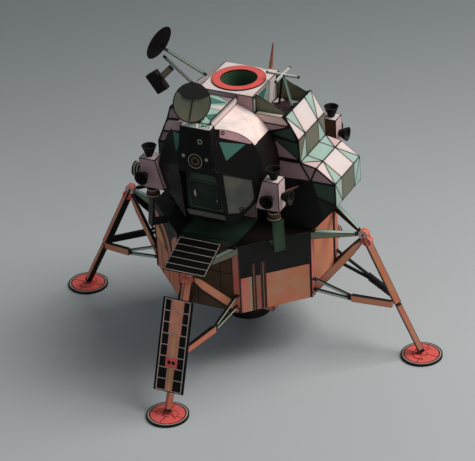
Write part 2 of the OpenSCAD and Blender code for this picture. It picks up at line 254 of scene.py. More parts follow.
def glue(name, nodes, slot, patches, material):
    """Joins patches into one mesh object that stands for its CAD nodes.

    Points of neighbouring patches that meet are merged, so the card closes at its folds. The colour, printed and on
    some faces painted shade, and the distance to the folds are kept on the face corners, so that they can change at a
    fold.
    """
    points = np.concatenate([p for p, _, _, _ in patches]) / 1000
    tints = np.concatenate([np.tile(linear(PRINT_AND_SHADE_COLOURS[c]) if isinstance(c, str) else linear(c), (len(p), 1))
                            for p, _, c, _ in patches])
    rims = np.concatenate([d for _, _, _, d in patches])
    start, fours, threes = 0, [], []
    for p, (quads, fan), _, _ in patches:
        fours.append(quads + start)
        if fan is not None:
            threes.append(fan + start)
        start += len(p)
    fours = np.concatenate(fours)
    threes = np.concatenate(threes) if threes else np.zeros((0, 3), int)
    corners = np.concatenate([fours.ravel(), threes.ravel()])
    sizes = np.concatenate([np.full(len(fours), 4), np.full(len(threes), 3)])
    mesh = bpy.data.meshes.new(name)
    mesh.vertices.add(len(points))
    mesh.vertices.foreach_set("co", points.ravel())
    mesh.loops.add(len(corners))
    mesh.loops.foreach_set("vertex_index", corners)
    mesh.polygons.add(len(sizes))
    mesh.polygons.foreach_set("loop_start", np.concatenate([[0], np.cumsum(sizes)[:-1]]))
    mesh.update(calc_edges=True)
    rim = mesh.attributes.new("rim", "FLOAT", "CORNER")
    rim.data.foreach_set("value", rims[corners])
    tint = mesh.attributes.new("print_and_shade", "FLOAT_COLOR", "CORNER")
    tint.data.foreach_set("color", np.column_stack([tints[corners], np.ones(len(corners))]).ravel())
    bm = bmesh.new()
    bm.from_mesh(mesh)
    bmesh.ops.remove_doubles(bm, verts=bm.verts, dist=2e-6)
    bmesh.ops.dissolve_degenerate(bm, edges=bm.edges, dist=1e-7)
    bm.to_mesh(mesh)
    bm.free()
    mesh.polygons.foreach_set("use_smooth", np.ones(len(mesh.polygons), bool))
    mesh.set_sharp_from_angle(angle=math.radians(14))
    mesh.materials.append(material)
    piece = bpy.data.objects.new(name, mesh)
    bpy.context.scene.collection.objects.link(piece)
    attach(piece, "root")
    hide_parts(*nodes)
    return piece


# ---------------------------------------------------------------- printed card materials

def new_group(name, inputs, outputs):
    """An empty shader node group: inputs are (name, kind, default), outputs are (name, kind)."""
    group = bpy.data.node_groups.new(name, "ShaderNodeTree")
    for label, kind, value in inputs:
        socket = group.interface.new_socket(label, in_out="INPUT", socket_type="NodeSocket" + kind)
        socket.default_value = value
    for label, kind in outputs:
        group.interface.new_socket(label, in_out="OUTPUT", socket_type="NodeSocket" + kind)
    return group, group.nodes.new("NodeGroupInput").outputs, group.nodes.new("NodeGroupOutput").inputs


def wire(tree, node_type, settings=None, **inputs):
    """Adds a node and fills its inputs: an output socket is linked, anything else is its value."""
    node = tree.nodes.new(node_type)
    for key, value in (settings or {}).items():
        setattr(node, key, value)
    for key, value in inputs.items():
        socket = node.inputs[int(key[1:]) if key[0] == "n" and key[1:].isdigit() else key.replace("_", " ")]
        if isinstance(value, bpy.types.NodeSocket):
            tree.links.new(value, socket)
        else:
            socket.default_value = value
    return node


def math_node(tree, operation, a, b=0.0, clamp=False):
    return wire(tree, "ShaderNodeMath", {"operation": operation, "use_clamp": clamp}, n0=a, n1=b).outputs[0]


def ramp(tree, value, low, high, to_low=0.0, to_high=1.0):
    return wire(tree, "ShaderNodeMapRange", {"interpolation_type": "SMOOTHSTEP"}, n0=value, n1=low, n2=high,
                n3=to_low, n4=to_high).outputs[0]


def noise(tree, scale, detail=3.0, roughness=0.55, stretch=None):
    place = wire(tree, "ShaderNodeTexCoord").outputs["Object"]
    if stretch:
        place = wire(tree, "ShaderNodeMapping", None, Vector=place, Scale=stretch).outputs[0]
    return wire(tree, "ShaderNodeTexNoise", None, Vector=place, Scale=scale, Detail=detail,
                Roughness=roughness).outputs


def mixed(tree, share, a, b, blend="MIX"):
    node = wire(tree, "ShaderNodeMix", {"data_type": "RGBA", "blend_type": blend})
    for socket, value in ((node.inputs[0], share), (node.inputs[6], a), (node.inputs[7], b)):
        if isinstance(value, bpy.types.NodeSocket):
            tree.links.new(value, socket)
        else:
            socket.default_value = value
    return node.outputs[2]


def ink_group():
    """Hand-ruled ink along the folds: dark where the distance to a fold, plus a slow wobble, is under the width."""
    g, i, o = new_group("Fold Ink",
                        [("Fold Distance", "Float", 9.0), ("Width", "Float", 0.35), ("Wobble", "Float", 0.2)],
                        [("Ink", "Float")])
    slow = math_node(g, "SUBTRACT", noise(g, 160, 2)[0], 0.5)
    fine = math_node(g, "SUBTRACT", noise(g, 1500, 2)[0], 0.5)
    shift = math_node(g, "MULTIPLY", math_node(g, "ADD", slow, math_node(g, "MULTIPLY", fine, 0.35)),
                      i["Wobble"])
    place = math_node(g, "ADD", i["Fold Distance"], shift)
    low = math_node(g, "MULTIPLY", i["Width"], 0.62)
    g.links.new(ramp(g, place, low, i["Width"], 1.0, 0.0), o["Ink"])
    return g


def wash_group():
    """Printed watercolour: the piece's colour, printed colour with painted shade on some faces, times a warm tint in
    some blots and a cool one in others, darker beside the folds.
    """
    g, i, o = new_group("Watercolour Wash",
                        [("Print", "Color", (0.8, 0.8, 0.8, 1)), ("Warm Tint", "Color", (1, 0.8, 0.7, 1)),
                         ("Cool Tint", "Color", (0.9, 1, 0.7, 1)),
                         ("Amount", "Float", 1.0), ("Blot Size", "Float", 90.0),
                         ("Fold Distance", "Float", 9.0), ("Granulation", "Float", 0.12)],
                        [("Colour", "Color"), ("Blots", "Float")])
    place = wire(g, "ShaderNodeTexCoord").outputs["Object"]
    colour = i["Print"]
    for tint, shift in (("Warm Tint", 0.0), ("Cool Tint", 3.7)):
        moved = wire(g, "ShaderNodeMapping", None, Vector=place,
                     Location=(shift, 0.5 * shift, 0.3)).outputs[0]
        blots = wire(g, "ShaderNodeTexNoise", None, Vector=moved, Scale=i["Blot Size"], Detail=4.0,
                     Roughness=0.55, Distortion=0.5).outputs[0]
        blots = ramp(g, blots, 0.36, 0.68)
        colour = mixed(g, math_node(g, "MULTIPLY", blots, i["Amount"], True), colour,
                       mixed(g, 1.0, colour, i[tint], "MULTIPLY"))
    pool = math_node(g, "MULTIPLY", ramp(g, i["Fold Distance"], 0.3, 2.0, 0.3, 0.0), i["Amount"], True)
    colour = mixed(g, pool, colour, mixed(g, 1.0, colour, (0.70, 0.62, 0.62, 1), "MULTIPLY"))
    grit = ramp(g, noise(g, 2600, 3, 0.7)[0], 0.3, 0.7, -1.0, 1.0)
    bright = math_node(g, "ADD", math_node(g, "MULTIPLY", grit, i["Granulation"]), 1.0)
    scaled = wire(g, "ShaderNodeVectorMath", {"operation": "SCALE"}, n0=colour, Scale=bright).outputs[0]
    g.links.new(scaled, o["Colour"])
    g.links.new(blots, o["Blots"])
    return g


def grain_group():
    """Uncoated card: short fibres lying every way and a slow cockle where the glue drew the sheet."""
    g, i, o = new_group("Card Grain", [("Fibres", "Float", 1.0), ("Cockle", "Float", 1.0)],
                        [("Height", "Float")])
    a = noise(g, 900, 3, 0.6, (1.0, 0.25, 1.0))[0]
    b = noise(g, 900, 3, 0.6, (0.25, 1.0, 0.6))[0]
    fibres = math_node(g, "MULTIPLY", math_node(g, "ADD", a, b), i["Fibres"])
    cockle = math_node(g, "MULTIPLY", noise(g, 70, 1.5)[0], math_node(g, "MULTIPLY", i["Cockle"], 9.0))
    g.links.new(math_node(g, "ADD", fibres, cockle), o["Height"])
    return g


def scuff_group():
    """Worn folds: broken pale ticks where the ink has rubbed off the very edge of a fold."""
    g, i, o = new_group("Fold Scuff",
                        [("Fold Distance", "Float", 9.0), ("Reach", "Float", 0.16), ("Amount", "Float", 0.5)],
                        [("Scuff", "Float")])
    near = ramp(g, i["Fold Distance"], math_node(g, "MULTIPLY", i["Reach"], 0.3), i["Reach"], 1.0, 0.0)
    ticks = ramp(g, noise(g, 420, 4, 0.7)[0], 0.54, 0.62)
    g.links.new(math_node(g, "MULTIPLY", math_node(g, "MULTIPLY", near, ticks), i["Amount"]), o["Scuff"])
    return g


# Slot: warm and cool tints of the wash, its amount, blot size, granulation, ink width in mm, scuffing, roughness, gloss
CARDS = {
    "white_card": ((1.0, 0.89, 0.87), (0.88, 0.92, 0.93), 0.8, 60.0, 0.04, 0.38, 0.10, 0.62, 0.25),
    "copper_card": ((1.12, 0.74, 0.70), (0.95, 0.98, 0.75), 1.0, 95.0, 0.09, 0.30, 0.20, 0.58, 0.28),
    "black_card": ((1.7, 1.3, 1.2), (0.7, 0.8, 0.8), 0.8, 80.0, 0.12, 0.14, 0.25, 0.55, 0.14),
    "green_card": ((1.1, 1.0, 0.8), (0.6, 0.8, 0.75), 0.9, 90.0, 0.12, 0.24, 0.15, 0.55, 0.18),
    "mint_card": ((1.0, 0.96, 0.88), (0.84, 0.96, 0.95), 0.9, 90.0, 0.07, 0.28, 0.10, 0.60, 0.25),
    "red_card": ((1.10, 0.84, 0.80), (0.88, 0.90, 0.96), 0.8, 110.0, 0.06, 0.26, 0.10, 0.58, 0.28),
    "olive_card": ((1.12, 1.0, 0.84), (0.78, 0.90, 0.86), 0.8, 80.0, 0.08, 0.30, 0.12, 0.60, 0.22),
    "pale_grey_card": ((1.12, 0.92, 0.88), (0.82, 0.88, 0.90), 0.8, 110.0, 0.08, 0.12, 0.10, 0.60, 0.25),
}


def card_material(slot):
    """The printed card of one slot. It reads the piece's colour, printed and on some faces painted shade, and distance
    to the folds.
    """
    name = "Printed " + slot.replace("_", " ")
    if name in bpy.data.materials:
        return bpy.data.materials[name]
    warm, cool, amount, blot, granulation, ink_width, scuff, rough, gloss_level = CARDS[slot]
    look = bpy.context.scene.lander_print
    groups = {n: bpy.data.node_groups.get(n) or make() for n, make in
              (("Fold Ink", ink_group), ("Watercolour Wash", wash_group), ("Card Grain", grain_group),
               ("Fold Scuff", scuff_group))}
    material = bpy.data.materials.new(name)
    material.use_nodes = True
    tree = material.node_tree
    shader = tree.nodes["Principled BSDF"]

    def placed(group, **inputs):
        node = wire(tree, "ShaderNodeGroup", {"node_tree": groups[group]})
        for key, value in inputs.items():
            socket = node.inputs[key.replace("_", " ")]
            if isinstance(value, bpy.types.NodeSocket):
                tree.links.new(value, socket)
            else:
                socket.default_value = value
        return node.outputs

    rim = wire(tree, "ShaderNodeAttribute", {"attribute_name": "rim"}).outputs["Fac"]
    tint = wire(tree, "ShaderNodeAttribute", {"attribute_name": "print_and_shade"}).outputs["Color"]
    wash = placed("Watercolour Wash", Print=tint, Warm_Tint=(*warm, 1), Cool_Tint=(*cool, 1),
                  Amount=amount * look.wash,
                  Blot_Size=blot, Fold_Distance=rim, Granulation=granulation)
    ink = placed("Fold Ink", Fold_Distance=rim, Width=ink_width * look.ink_width, Wobble=0.3 * ink_width)[0]
    worn = placed("Fold Scuff", Fold_Distance=rim, Amount=scuff * look.scuff)[0]
    colour = mixed(tree, ink, wash["Colour"], (*linear(look.ink_colour), 1))
    colour = mixed(tree, worn, colour, (*linear((0.62, 0.56, 0.53)), 1))
    tree.links.new(colour, shader.inputs["Base Color"])
    gloss = ramp(tree, wash["Blots"], 0.0, 1.0, rough - 0.06, rough + 0.06)
    tree.links.new(math_node(tree, "SUBTRACT", gloss, math_node(tree, "MULTIPLY", ink, 0.12)),
                   shader.inputs["Roughness"])
    grain = placed("Card Grain", Fibres=1.0, Cockle=look.cockle)[0]
    bump = wire(tree, "ShaderNodeBump", None, Strength=0.22, Distance=0.00008, Height=grain)
    tree.links.new(bump.outputs[0], shader.inputs["Normal"])
    shader.inputs["Specular IOR Level"].default_value = gloss_level
    return material


def make(name, slot, patches, nodes=None):
    return glue(name, nodes or [name], slot, patches, card_material(slot))


# ---------------------------------------------------------------- descent stage

def eight_sided_box():
    """The lower stage: a copper box with painted light and shade on its walls, and a printed panel scheme on each of
    its eight walls.
    """
    lo, hi = box_mm("descent_stage")

    def paint(out, mid):
        # Painted light and shade: walls turned to the key light are orange, walls turned away umber, the slanting walls
        # copper, and the top and underside, in shade under the cabin and over the floor, near-black soot.
        if abs(out[2]) > 0.9:
            return "soot"
        if out[0] > 0.9 or out[1] > 0.9:
            return "orange"
        return "umber" if out[1] < -0.9 or out[0] < -0.9 else "copper"

    patches = folded("descent_stage", paint)
    half, side = hi[0], 15.5
    low, high, waist = lo[2], hi[2], lo[2] + 18.6
    for sx, sy in ((1, -1), (-1, -1), (-1, 1), (1, 1)):
        a, b = np.array([sx * side, sy * half, 0]), np.array([sx * half, sy * side, 0])
        out = np.array([sx, sy, 0])

        def at(s, z):
            return a + (b - a) * s + np.array([0, 0, z])

        patches += laid([at(0, waist), at(1, waist), at(1, high), at(0, high)], "black", out)
        if (sx, sy) in ((1, -1), (-1, 1)):
            for s0, s1, top, colour in ((0.015, 0.126, waist - 0.3, "rose"),
                                        (0.126, 0.163, waist - 0.3, "bone"),
                                        (0.163, 0.225, waist + 6.5, "plum"),
                                        (0.225, 0.290, waist - 0.3, "clay"),
                                        (0.290, 0.368, waist + 6.5, "plum")):
                patches += laid([at(s0, low), at(s1, low), at(s1, top), at(s0, top)], colour, out, 0.12
                                if colour == "plum" else 0.09, ink=False)
            for s in (0.194, 0.329):
                patches += stroke(at(s, low), at(s, waist + 6), 0.34, out, "clay", lift=0.16)
            patches += laid([at(0.372, low), at(0.985, low), at(0.985, waist - 0.4), at(0.372, waist - 0.4)],
                            "copper", out, 0.09, ink=False)
            patches += stroke(at(0, waist), at(1, waist), 0.5, out, lift=0.12)
        else:
            for k, colour in ((0.30, "copper"), (0.24, "umber"), (0.17, "gold")):
                t = np.linspace(0, np.pi / 2, 12)
                arc = [at(1 - 2.2 * k * math.sin(q), waist - 2 + 50 * k * math.cos(q)) for q in t]
                patches += laid([at(1, waist - 2)] + arc, colour, out, 0.08 + 0.03 * (0.3 - k) / 0.06)
            patches += laid([at(0.04, low), at(0.30, low), at(0.30, waist + 9), at(0.10, high - 3),
                             at(0.04, high - 3)], "copper", out, 0.09)
            patches += stroke(at(0.5, low), at(0.5, waist), 0.35, out, lift=0.12)
            patches += stroke(at(0.78, low), at(0.78, waist), 0.35, out, lift=0.12)
    for out, across in (((0, -1, 0), (1, 0, 0)), ((0, 1, 0), (1, 0, 0)), ((-1, 0, 0), (0, 1, 0))):
        out, across = np.array(out, float), np.array(across, float)
        wall = out * half + np.array([0, 0, waist])
        for s in (-6.5, 5.5):
            patches += stroke(wall + across * s - (0, 0, 17.5), wall + across * s + (0, 0, 16), 0.3, out)
        patches += stroke(wall - across * 11.8 + (0, 0, 1.5), wall + across * 11.8 + (0, 0, 1.5), 0.3, out)
    make("descent_stage", "copper_card", patches)


def corner_posts():
    """Eight narrow posts beside the leg walls, coral on the face, dark on the cut edges."""
    patches = []
    for corners, folds, out in folded_faces("corner_posts"):
        mid = corners.mean(0)
        face = abs(out[0] * mid[0]) + abs(out[1] * mid[1]) > 39.5 and abs(out[2]) < 0.5
        patches += thinner(panel(corners, "rose" if face else "plum", folds), 0.7)
    half = box_mm("corner_posts")[1][0]
    for turn in (-90, 0, 90, 180):
        marks = []
        for s in (-1, 1):
            for z in (32.6, 39.6, 62.8):
                marks += spot((half, s * 14.9, z), (1, 0, 0), 0.55, "black")
        patches += turned_about_z(marks, turn)
    make("corner_posts", "copper_card", patches)


def base_skirt():
    lo, hi = box_mm("base_skirt")
    # Painted light and shade: the face turned to the key light is rose, the underside in shade near-black soot, the
    # other faces copper.
    patches = folded("base_skirt", lambda out, mid: "rose" if out[0] > 0.5 else "soot" if out[2] < -0.5
                     else "copper")
    for x in np.linspace(-16, 16, 5):
        patches += stroke((x, lo[1], lo[2] + 0.4), (x, lo[1], hi[2]), 0.25, (0, -1, 0))
        patches += stroke((hi[0], x, lo[2] + 0.4), (hi[0], x, hi[2]), 0.25, (1, 0, 0))
    make("base_skirt", "copper_card", patches)


def engine_bell():
    """A hollow bell: its profile goes up the outside, over the throat and down the inside, bowed like a real nozzle."""
    lo, hi = box_mm("engine_bell")
    mouth, throat, high = hi[0], 6.0, hi[2] - lo[2]
    s = np.linspace(0, 1, 9)
    outer = [(mouth + (throat - mouth) * q - 0.5 * math.sin(math.pi * q) * -0.6, high * q) for q in s]
    profile = [(mouth - 0.8, 0, "sage", True), (mouth, 0, "black", True)]
    profile += [(r, z, "soot" if k % 2 else "black", k % 2 == 0) for k, (r, z) in enumerate(outer[1:], 1)]
    profile += [(0, high, "black", False)]
    profile = [(r, z, c, i) for r, z, c, i in profile]
    inner = [(max(r - 0.8, 0.2), z) for r, z in outer[:-1]] + [(throat - 0.9, high - 0.8)]
    inside = [(0, high - 0.8, "black", False)] + [(r, z, "soot", False) for r, z in inner[::-1]]
    make("engine_bell", "black_card", turned(profile, (0, 0, lo[2])) + turned(inside, (0, 0, lo[2])))


def porch():
    """The deck in front of the hatch and the ribbed porch plate that hangs from it."""
    patches = folded("porch_deck", lambda out, mid: "moss" if out[2] > 0.5 else "forest")
    z_at = lambda y: 66.6 + (69.5 - 66.6) * (-38.75 - y) / 8.0
    y0, y1 = -45.9, -44.2
    patches += laid([(-8.4, y0, z_at(y0)), (8.4, y0, z_at(y0)), (9, y1, z_at(y1)), (-9, y1, z_at(y1))],
                    "black", (0, -0.34, 0.94))
    make("porch_deck", "green_card", patches)
    pivot, tilt = np.array([0, -46.81, 69.0]), math.radians(21.5)
    back = np.array([0, math.cos(tilt), math.sin(tilt)])
    out = np.cross((1, 0, 0), back)

    def at(x, s):
        return pivot + out * 0.6 + np.array([x, 0, 0]) - back * s

    patches = folded("porch_grille", lambda o, m: "black")
    for side, lift in ((1, 0.6), (-1, 0.0)):
        shift = out * (lift - 0.6)
        facing = out * side
        for x in (-10.1, 10.1):
            patches += stroke(at(x, 0.3) + shift, at(x, 19.1) + shift, 0.28, facing, "bone")
        for s in (0.35, 4.2, 8.0, 11.8, 15.6, 19.05):
            patches += stroke(at(-10.1, s) + shift, at(10.1, s) + shift, 0.28, facing, "bone", lift=0.09)
    make("porch_grille", "black_card", patches)


def ladder():
    """The card ladder: black sheet with printed rails, nine rungs and the leg's strut showing between them."""
    faces = sorted(folded_faces("ladder"), key=lambda f: -np.linalg.norm(np.ptp(f[0], axis=0)))
    front = [f for f in faces if f[2][1] < -0.5][0]
    patches = []
    for corners, folds, out in faces:
        patches += panel(corners, "black", folds)
    corners, _, out = front
    low = corners[np.argsort(corners[:, 2])[:2]]
    high = corners[np.argsort(corners[:, 2])[2:]]
    base, up = low.mean(0), high.mean(0) - low.mean(0)
    length = np.linalg.norm(up)
    up = up / length

    def at(x, s):
        return base + np.array([x, 0, 0]) + up * s

    half = np.ptp(corners[:, 0]) / 2
    bay = (length - 1.2) / 8
    down = lambda b: length - 0.6 - bay * b
    for b0, b1, w0, w1, colour in ((0, 3, 3.4, 3.2, "copper"), (3, 5, 2.9, 2.9, "copper"),
                                   (5, 6, 3.1, 3.1, "coral"), (6, 8, 2.0, 1.9, "copper")):
        patches += laid([at(-w1, down(b1)), at(w1, down(b1)), at(w0, down(b0)), at(-w0, down(b0))], colour,
                        out, 0.04)
    for b0, b1 in ((3, 5), (6, 8)):
        patches += stroke(at(0.2, down(b1)), at(0.2, down(b0)), 0.8, out, "gold", 0.06)
    for x in (-1.05, 1.05):
        patches += spot(at(x, down(5.5)), out, 0.85, "black", lift=0.09)
    for b in (0.95, 2.95):
        for x0, x1, z0, z1 in ((-3, -1.2, 0, 0.9), (-1.2, 1.2, 0.9, 0.9), (1.2, 3, 0.9, 0)):
            patches += stroke(at(x0, down(b) + z0), at(x1, down(b) + z1), 0.3, out, "bone", 0.1)
    for b in range(9):
        patches += stroke(at(-half + 1.3, down(b)), at(half - 1.3, down(b)), 0.36, out, "bone", 0.1)
    for x in (-half + 1.3, half - 1.3):
        patches += stroke(at(x, 0.4), at(x, length - 0.4), 0.42, out, "bone", 0.12)
    make("ladder", "black_card", patches)


# ---------------------------------------------------------------- legs

def square_bar(p, q, w0, w1, face, under):
    """A folded square strut from p to q, turned on its edge: four faces and two ends, each a panel."""
    p, q = np.asarray(p, float), np.asarray(q, float)
    u, v, _ = frame_of(q - p, (0, 1, 0))
    spread = (u, v, -u, -v)
    a = [p + t * w0 / math.sqrt(2) for t in spread]
    b = [q + t * w1 / math.sqrt(2) for t in spread]
    patches = []
    for k in range(4):
        j = (k + 1) % 4
        patches += panel([a[k], a[j], b[j], b[k]], under if (spread[k] + spread[j])[2] < 0 else face,
                         (False, True, False, True))
    return thinner(patches + panel(a[::-1], face, (False,) * 4) + panel(b, face, (False,) * 4), 0.6)


def legs():
    """Four legs, each a folded strut with its two joint plates, outrigger arms, braces and side frames."""
    joint, foot = np.array([60.6, 0, 60.1]), np.array([88.8, 0, 1.22])
    along = unit(foot - joint)
    knee = joint + (60.1 - 26.6) / (60.1 - 1.22) * (foot - joint)
    for name, turn in (("front", -90), ("right", 0), ("rear", 90), ("left", 180)):
        strut = square_bar(joint, knee, 3.2, 3.2, "copper", "black")
        strut += square_bar(knee, foot + (0, 0, 0.9), 2.6, 2.6, "copper", "black")
        for centre, colour in ((joint, "blush"), (joint + 3.7 * along, "coral")):
            strut += turned([(0, -1.62, colour, False), (2.3, -1.62, "rose", False),
                             (2.3, 1.62, colour, False), (0, 1.62, colour, False)],
                            centre, (0, 1, 0), 40)
            for s in (-1, 1):
                strut += spot(centre + (0, s * 1.62, 0), (0, s, 0), 0.75, "black", lift=0.06, turns=20)
                strut += spot(centre + (0, s * 1.62, 0), (0, s, 0), 1.75, "black", 1.6, lift=0.05)
        make(name + "_leg_strut", "copper_card", turned_about_z(strut, turn))
        c, s = math.cos(math.radians(turn)), math.sin(math.radians(turn))
        outward, across = np.array([c, s, 0]), np.array([-s, c, 0])

        def outside(out, mid):
            """Whether a face looks away from the leg's own middle plane."""
            return (out @ across) * np.sign(mid @ across) > 0.45

        def arm_paint(out, mid):
            return "mint" if out[2] > 0.6 else "olive" if outside(out, mid) else "black"

        def brace_paint(out, mid):
            return "copper" if outside(out, mid) else "rose" if abs(out @ outward) > 0.9 else "black"

        def frame_paint(out, mid):
            if not outside(out, mid):
                return "black" if mid @ outward < 58.6 or abs(out @ outward) < 0.9 else "copper"
            return "copper" if mid @ outward > 58.6 else "mint"

        arms = folded(name + "_leg_outrigger", arm_paint, ink=0.6, lengthways=True)
        make(name + "_leg_outrigger", "mint_card", arms)
        make(name + "_leg_braces", "copper_card",
             folded(name + "_leg_braces", brace_paint, ink=0.6, lengthways=True))
        make(name + "_leg_side_struts", "copper_card",
             folded(name + "_leg_side_struts", frame_paint, ink=0.5, lengthways=True))


def footpads():
    """Round pads: coral middle with two tabs by the foot, a black ring, a pale ring and a black cut edge."""
    for name, turn in (("front", -90), ("right", 0), ("rear", 90), ("left", 180)):
        r, t = 9.8, 1.2
        pad = turned([(0, 0, "sage", False), (r, 0, "black", True), (r, t, "black", False),
                      (r - 0.6, t, "bone", False), (r - 1.2, t, "black", False),
                      (r - 1.8, t, "coral", False), (0, t, "coral", False)], (88.8, 0, 0), turns=72)
        top = np.array([88.8, 0, t])
        up = (0, 0, 1)
        for s in (-1, 1):
            tab = [top + (-4.2, s * 1.5, 0), top + (-0.2, s * 1.5, 0), top + (2.6, s * 5.0, 0),
                   top + (-1.6, s * 5.2, 0)]
            pad += laid(tab, "coral", up, 0.3)
        pad += stroke(top + (-7.9, 0, 0), top + (-2.6, 0, 0), 0.3, up) + stroke(top + (2.6, 0, 0),
                                                                                top + (7.9, 0, 0), 0.3, up)
        pad += stroke(top + (0.6, -7.9, 0), top + (0.6, -4.4, 0), 0.3, up) + stroke(top + (0.6, 4.4, 0),
                                                                                    top + (0.6, 7.9, 0), 0.3,
                                                                                    up)
        pad += laid([top + (-2.4, -1.6, 0), top + (2.6, -1.6, 0), top + (2.6, 1.6, 0), top + (-2.4, 1.6, 0)],
                    "coral", up, 0.12)
        make(name + "_footpad", "red_card", turned_about_z(pad, turn))


def plume_deflectors():
    # Painted shade: the front-left deflector, on the side turned from the light, is black.
    patches = folded("plume_deflectors", lambda out, mid: "black" if mid[0] < 0 and mid[1] < 0 else "moss"
                     if mid[2] < 75 else "forest")
    make("plume_deflectors", "green_card", patches)


# ---------------------------------------------------------------- ascent stage

BROW, CHEEK = unit((0.69, -0.63, 0.36)), unit((0.541, -0.824, -0.17))
BROW_D, CHEEK_D = 74.6 / np.linalg.norm((0.69, -0.63, 0.36)), 25.7 / np.linalg.norm((0.541, -0.824, -0.17))


def on_plane(x, z, normal, distance):
    """The point of a slanting plane above a place (x, z) of the front view: y solves normal . p = distance."""
    return np.array([x, (distance - normal[0] * x - normal[2] * z) / normal[1], z])


def cabin():
    """The round cabin: white skin over the right shoulder, painted shade over the left shoulder and down the flanks,
    slanting cheeks with a window and a panel each, grey on the right and painted shade on the left.
    """
    axis_z = 99.5

    def paint(out, mid):
        angle = math.degrees(math.atan2(mid[0], mid[2] - axis_z))
        if abs(out[1]) > 0.5 or abs(out[1]) > 0.1 and abs(out[0]) > 0.3:
            return "black"
        radial = math.hypot(mid[0], mid[2] - axis_z) > 24.5
        # Painted light and shade round the skin: white where the light falls over the right shoulder, mauve over the
        # left shoulder, near-black soot down the right flank and black down the left.
        if radial and abs(out[1]) < 0.05:
            if -4 < angle < 56:
                return "white"
            if -58 < angle <= -4:
                return "mauve"
            return "soot" if angle > 0 else "black"
        return "black" if out[2] > -0.5 else "forest"

    patches = folded("cabin", paint)
    for s in (1, -1):
        flip = np.array([s, 1, 1])
        brow, cheek = BROW * flip, CHEEK * flip

        def on_brow(x, z):
            return on_plane(x, z, BROW, BROW_D) * flip

        def on_cheek(x, z):
            return on_plane(x, z, CHEEK, CHEEK_D) * flip

        arc = []
        for a in np.linspace(18.6, 52, 9):
            x, z = 25.55 * math.sin(math.radians(a)), axis_z + 25.55 * math.cos(math.radians(a))
            arc.append(on_brow(x, z))
        # Painted shade: the strip under the brow is white card coloured mauve for the shade on it.
        patches += laid([on_brow(8.6, 120.4), on_brow(20.0, 114.6)] + arc[::-1], "mauve", brow)
        patches += spot(on_brow(9.6, 121.9), brow, 0.95, "black", 0.45)
        patches += laid([on_brow(8.9, 118.6), on_brow(18.0, 115.2), on_brow(12.5, 110.2)], "pane", brow,
                        ink=False)
        # Painted shade: the cheek panel is slate on the lit right and near-black soot on the shaded left.
        patches += laid([on_cheek(12.0, 104.6), on_cheek(11.6, 82.3), on_cheek(15.5, 82.0),
                         on_cheek(20.2, 86.0), on_cheek(22.4, 90.0), on_cheek(22.3, 99.8)], "slate" if s > 0
                         else "soot", cheek)
        patches += spot(on_cheek(16.8, 84.3), cheek, 1.15, "soot", 0.5)
        patches += spot(on_cheek(16.8, 84.3), cheek, 0.5, "clay", lift=0.08)
        edge = [(25.6 * math.sin(math.radians(a)), axis_z + 25.6 * math.cos(math.radians(a)))
                for a in (56,)][0]
        patches += stroke((s * edge[0], -15.2, edge[1]), (s * edge[0], -27, edge[1]), 0.5,
                          (s * edge[0], 0, edge[1] - axis_z), lift=0.12)
    make("cabin", "black_card", patches)
    column = folded("front_column", lambda out, mid: "black")
    out = unit((0, -1, 0.0994))
    on = lambda x, z: np.array([x, -48 + (z - 108) * 0.0994, z])
    column += spot(on(0, 110.7), out, 3.6, "bone", 3.1) + spot(on(0, 110.7), out, 2.3, "umber")
    column += spot(on(0, 110.7), out, 1.1, "black", lift=0.09)
    column += spot(on(-5.8, 112.5), out, 0.95, "sage") + spot(on(5.6, 112.3), out, 0.95,
                                                              "sage") + spot(on(2.4, 120.4), out, 1.35,
                                                                             "sage", 0.0)
    column += spot(on(2.4, 120.4), out, 0.8, "dusk", lift=0.09)
    make("front_column", "black_card", column)


def hatch():
    """The front hatch: a rounded green door with two handles, inside a grey-green frame over a sill."""
    patches = folded("front_hatch", lambda out, mid: "slate" if mid[2] < 81 and out[1] < -0.3 else "dusk")
    slope = (-38.75 + 41.5) / (80.6 - 102)
    out = unit((0, -1, slope))
    on = lambda x, z: np.array([x, -41.5 + slope * (z - 102), z])
    patches += laid([on(-7.7, 97.4), on(7.2, 97.4), on(6.6, 101.4), on(-6.2, 101.4)], "moss", out)
    patches += laid([on(-8.8, 81.3), on(9.6, 81.3), on(8.7, 96.7), on(-7.6, 96.7)], "moss", out, 0.04)

    def rounded(x0, z0, x1, z1, r):
        pts = []
        for cx, cz, a0 in ((x1 - r, z1 - r, 0), (x0 + r, z1 - r, 90), (x0 + r, z0 + r, 180),
                           (x1 - r, z0 + r, 270)):
            for a in np.linspace(a0, a0 + 90, 6):
                pts.append(on(cx + r * math.cos(math.radians(a)), cz + r * math.sin(math.radians(a))))
        return pts

    patches += laid(rounded(-7.2, 82.4, 7.6, 96.0, 1.8), "black", out, 0.07, ink=False)
    patches += laid(rounded(-6.6, 83.0, 7.0, 95.4, 1.4), "door", out, 0.11, ink=False)
    patches += stroke(on(0.3, 83), on(0.2, 95.4), 0.3, out, "dusk", 0.14)
    for x in (-5.0, 5.6):
        patches += spot(on(x, 90 if x < 0 else 87.5), out, 1.9, "black", 1.5, 0.14, 24)
        bar = [on(x - 0.5, 87.8), on(x + 0.5, 87.4), on(x + 0.7, 91.5),
               on(x - 0.4, 92)] if x < 0 else [on(x - 0.3, 86), on(x + 0.5, 85.6), on(x + 0.3, 88.6),
                                               on(x - 0.2, 89.4)]
        patches += laid(bar, "blush", out, 0.3)
    make("front_hatch", "green_card", patches)


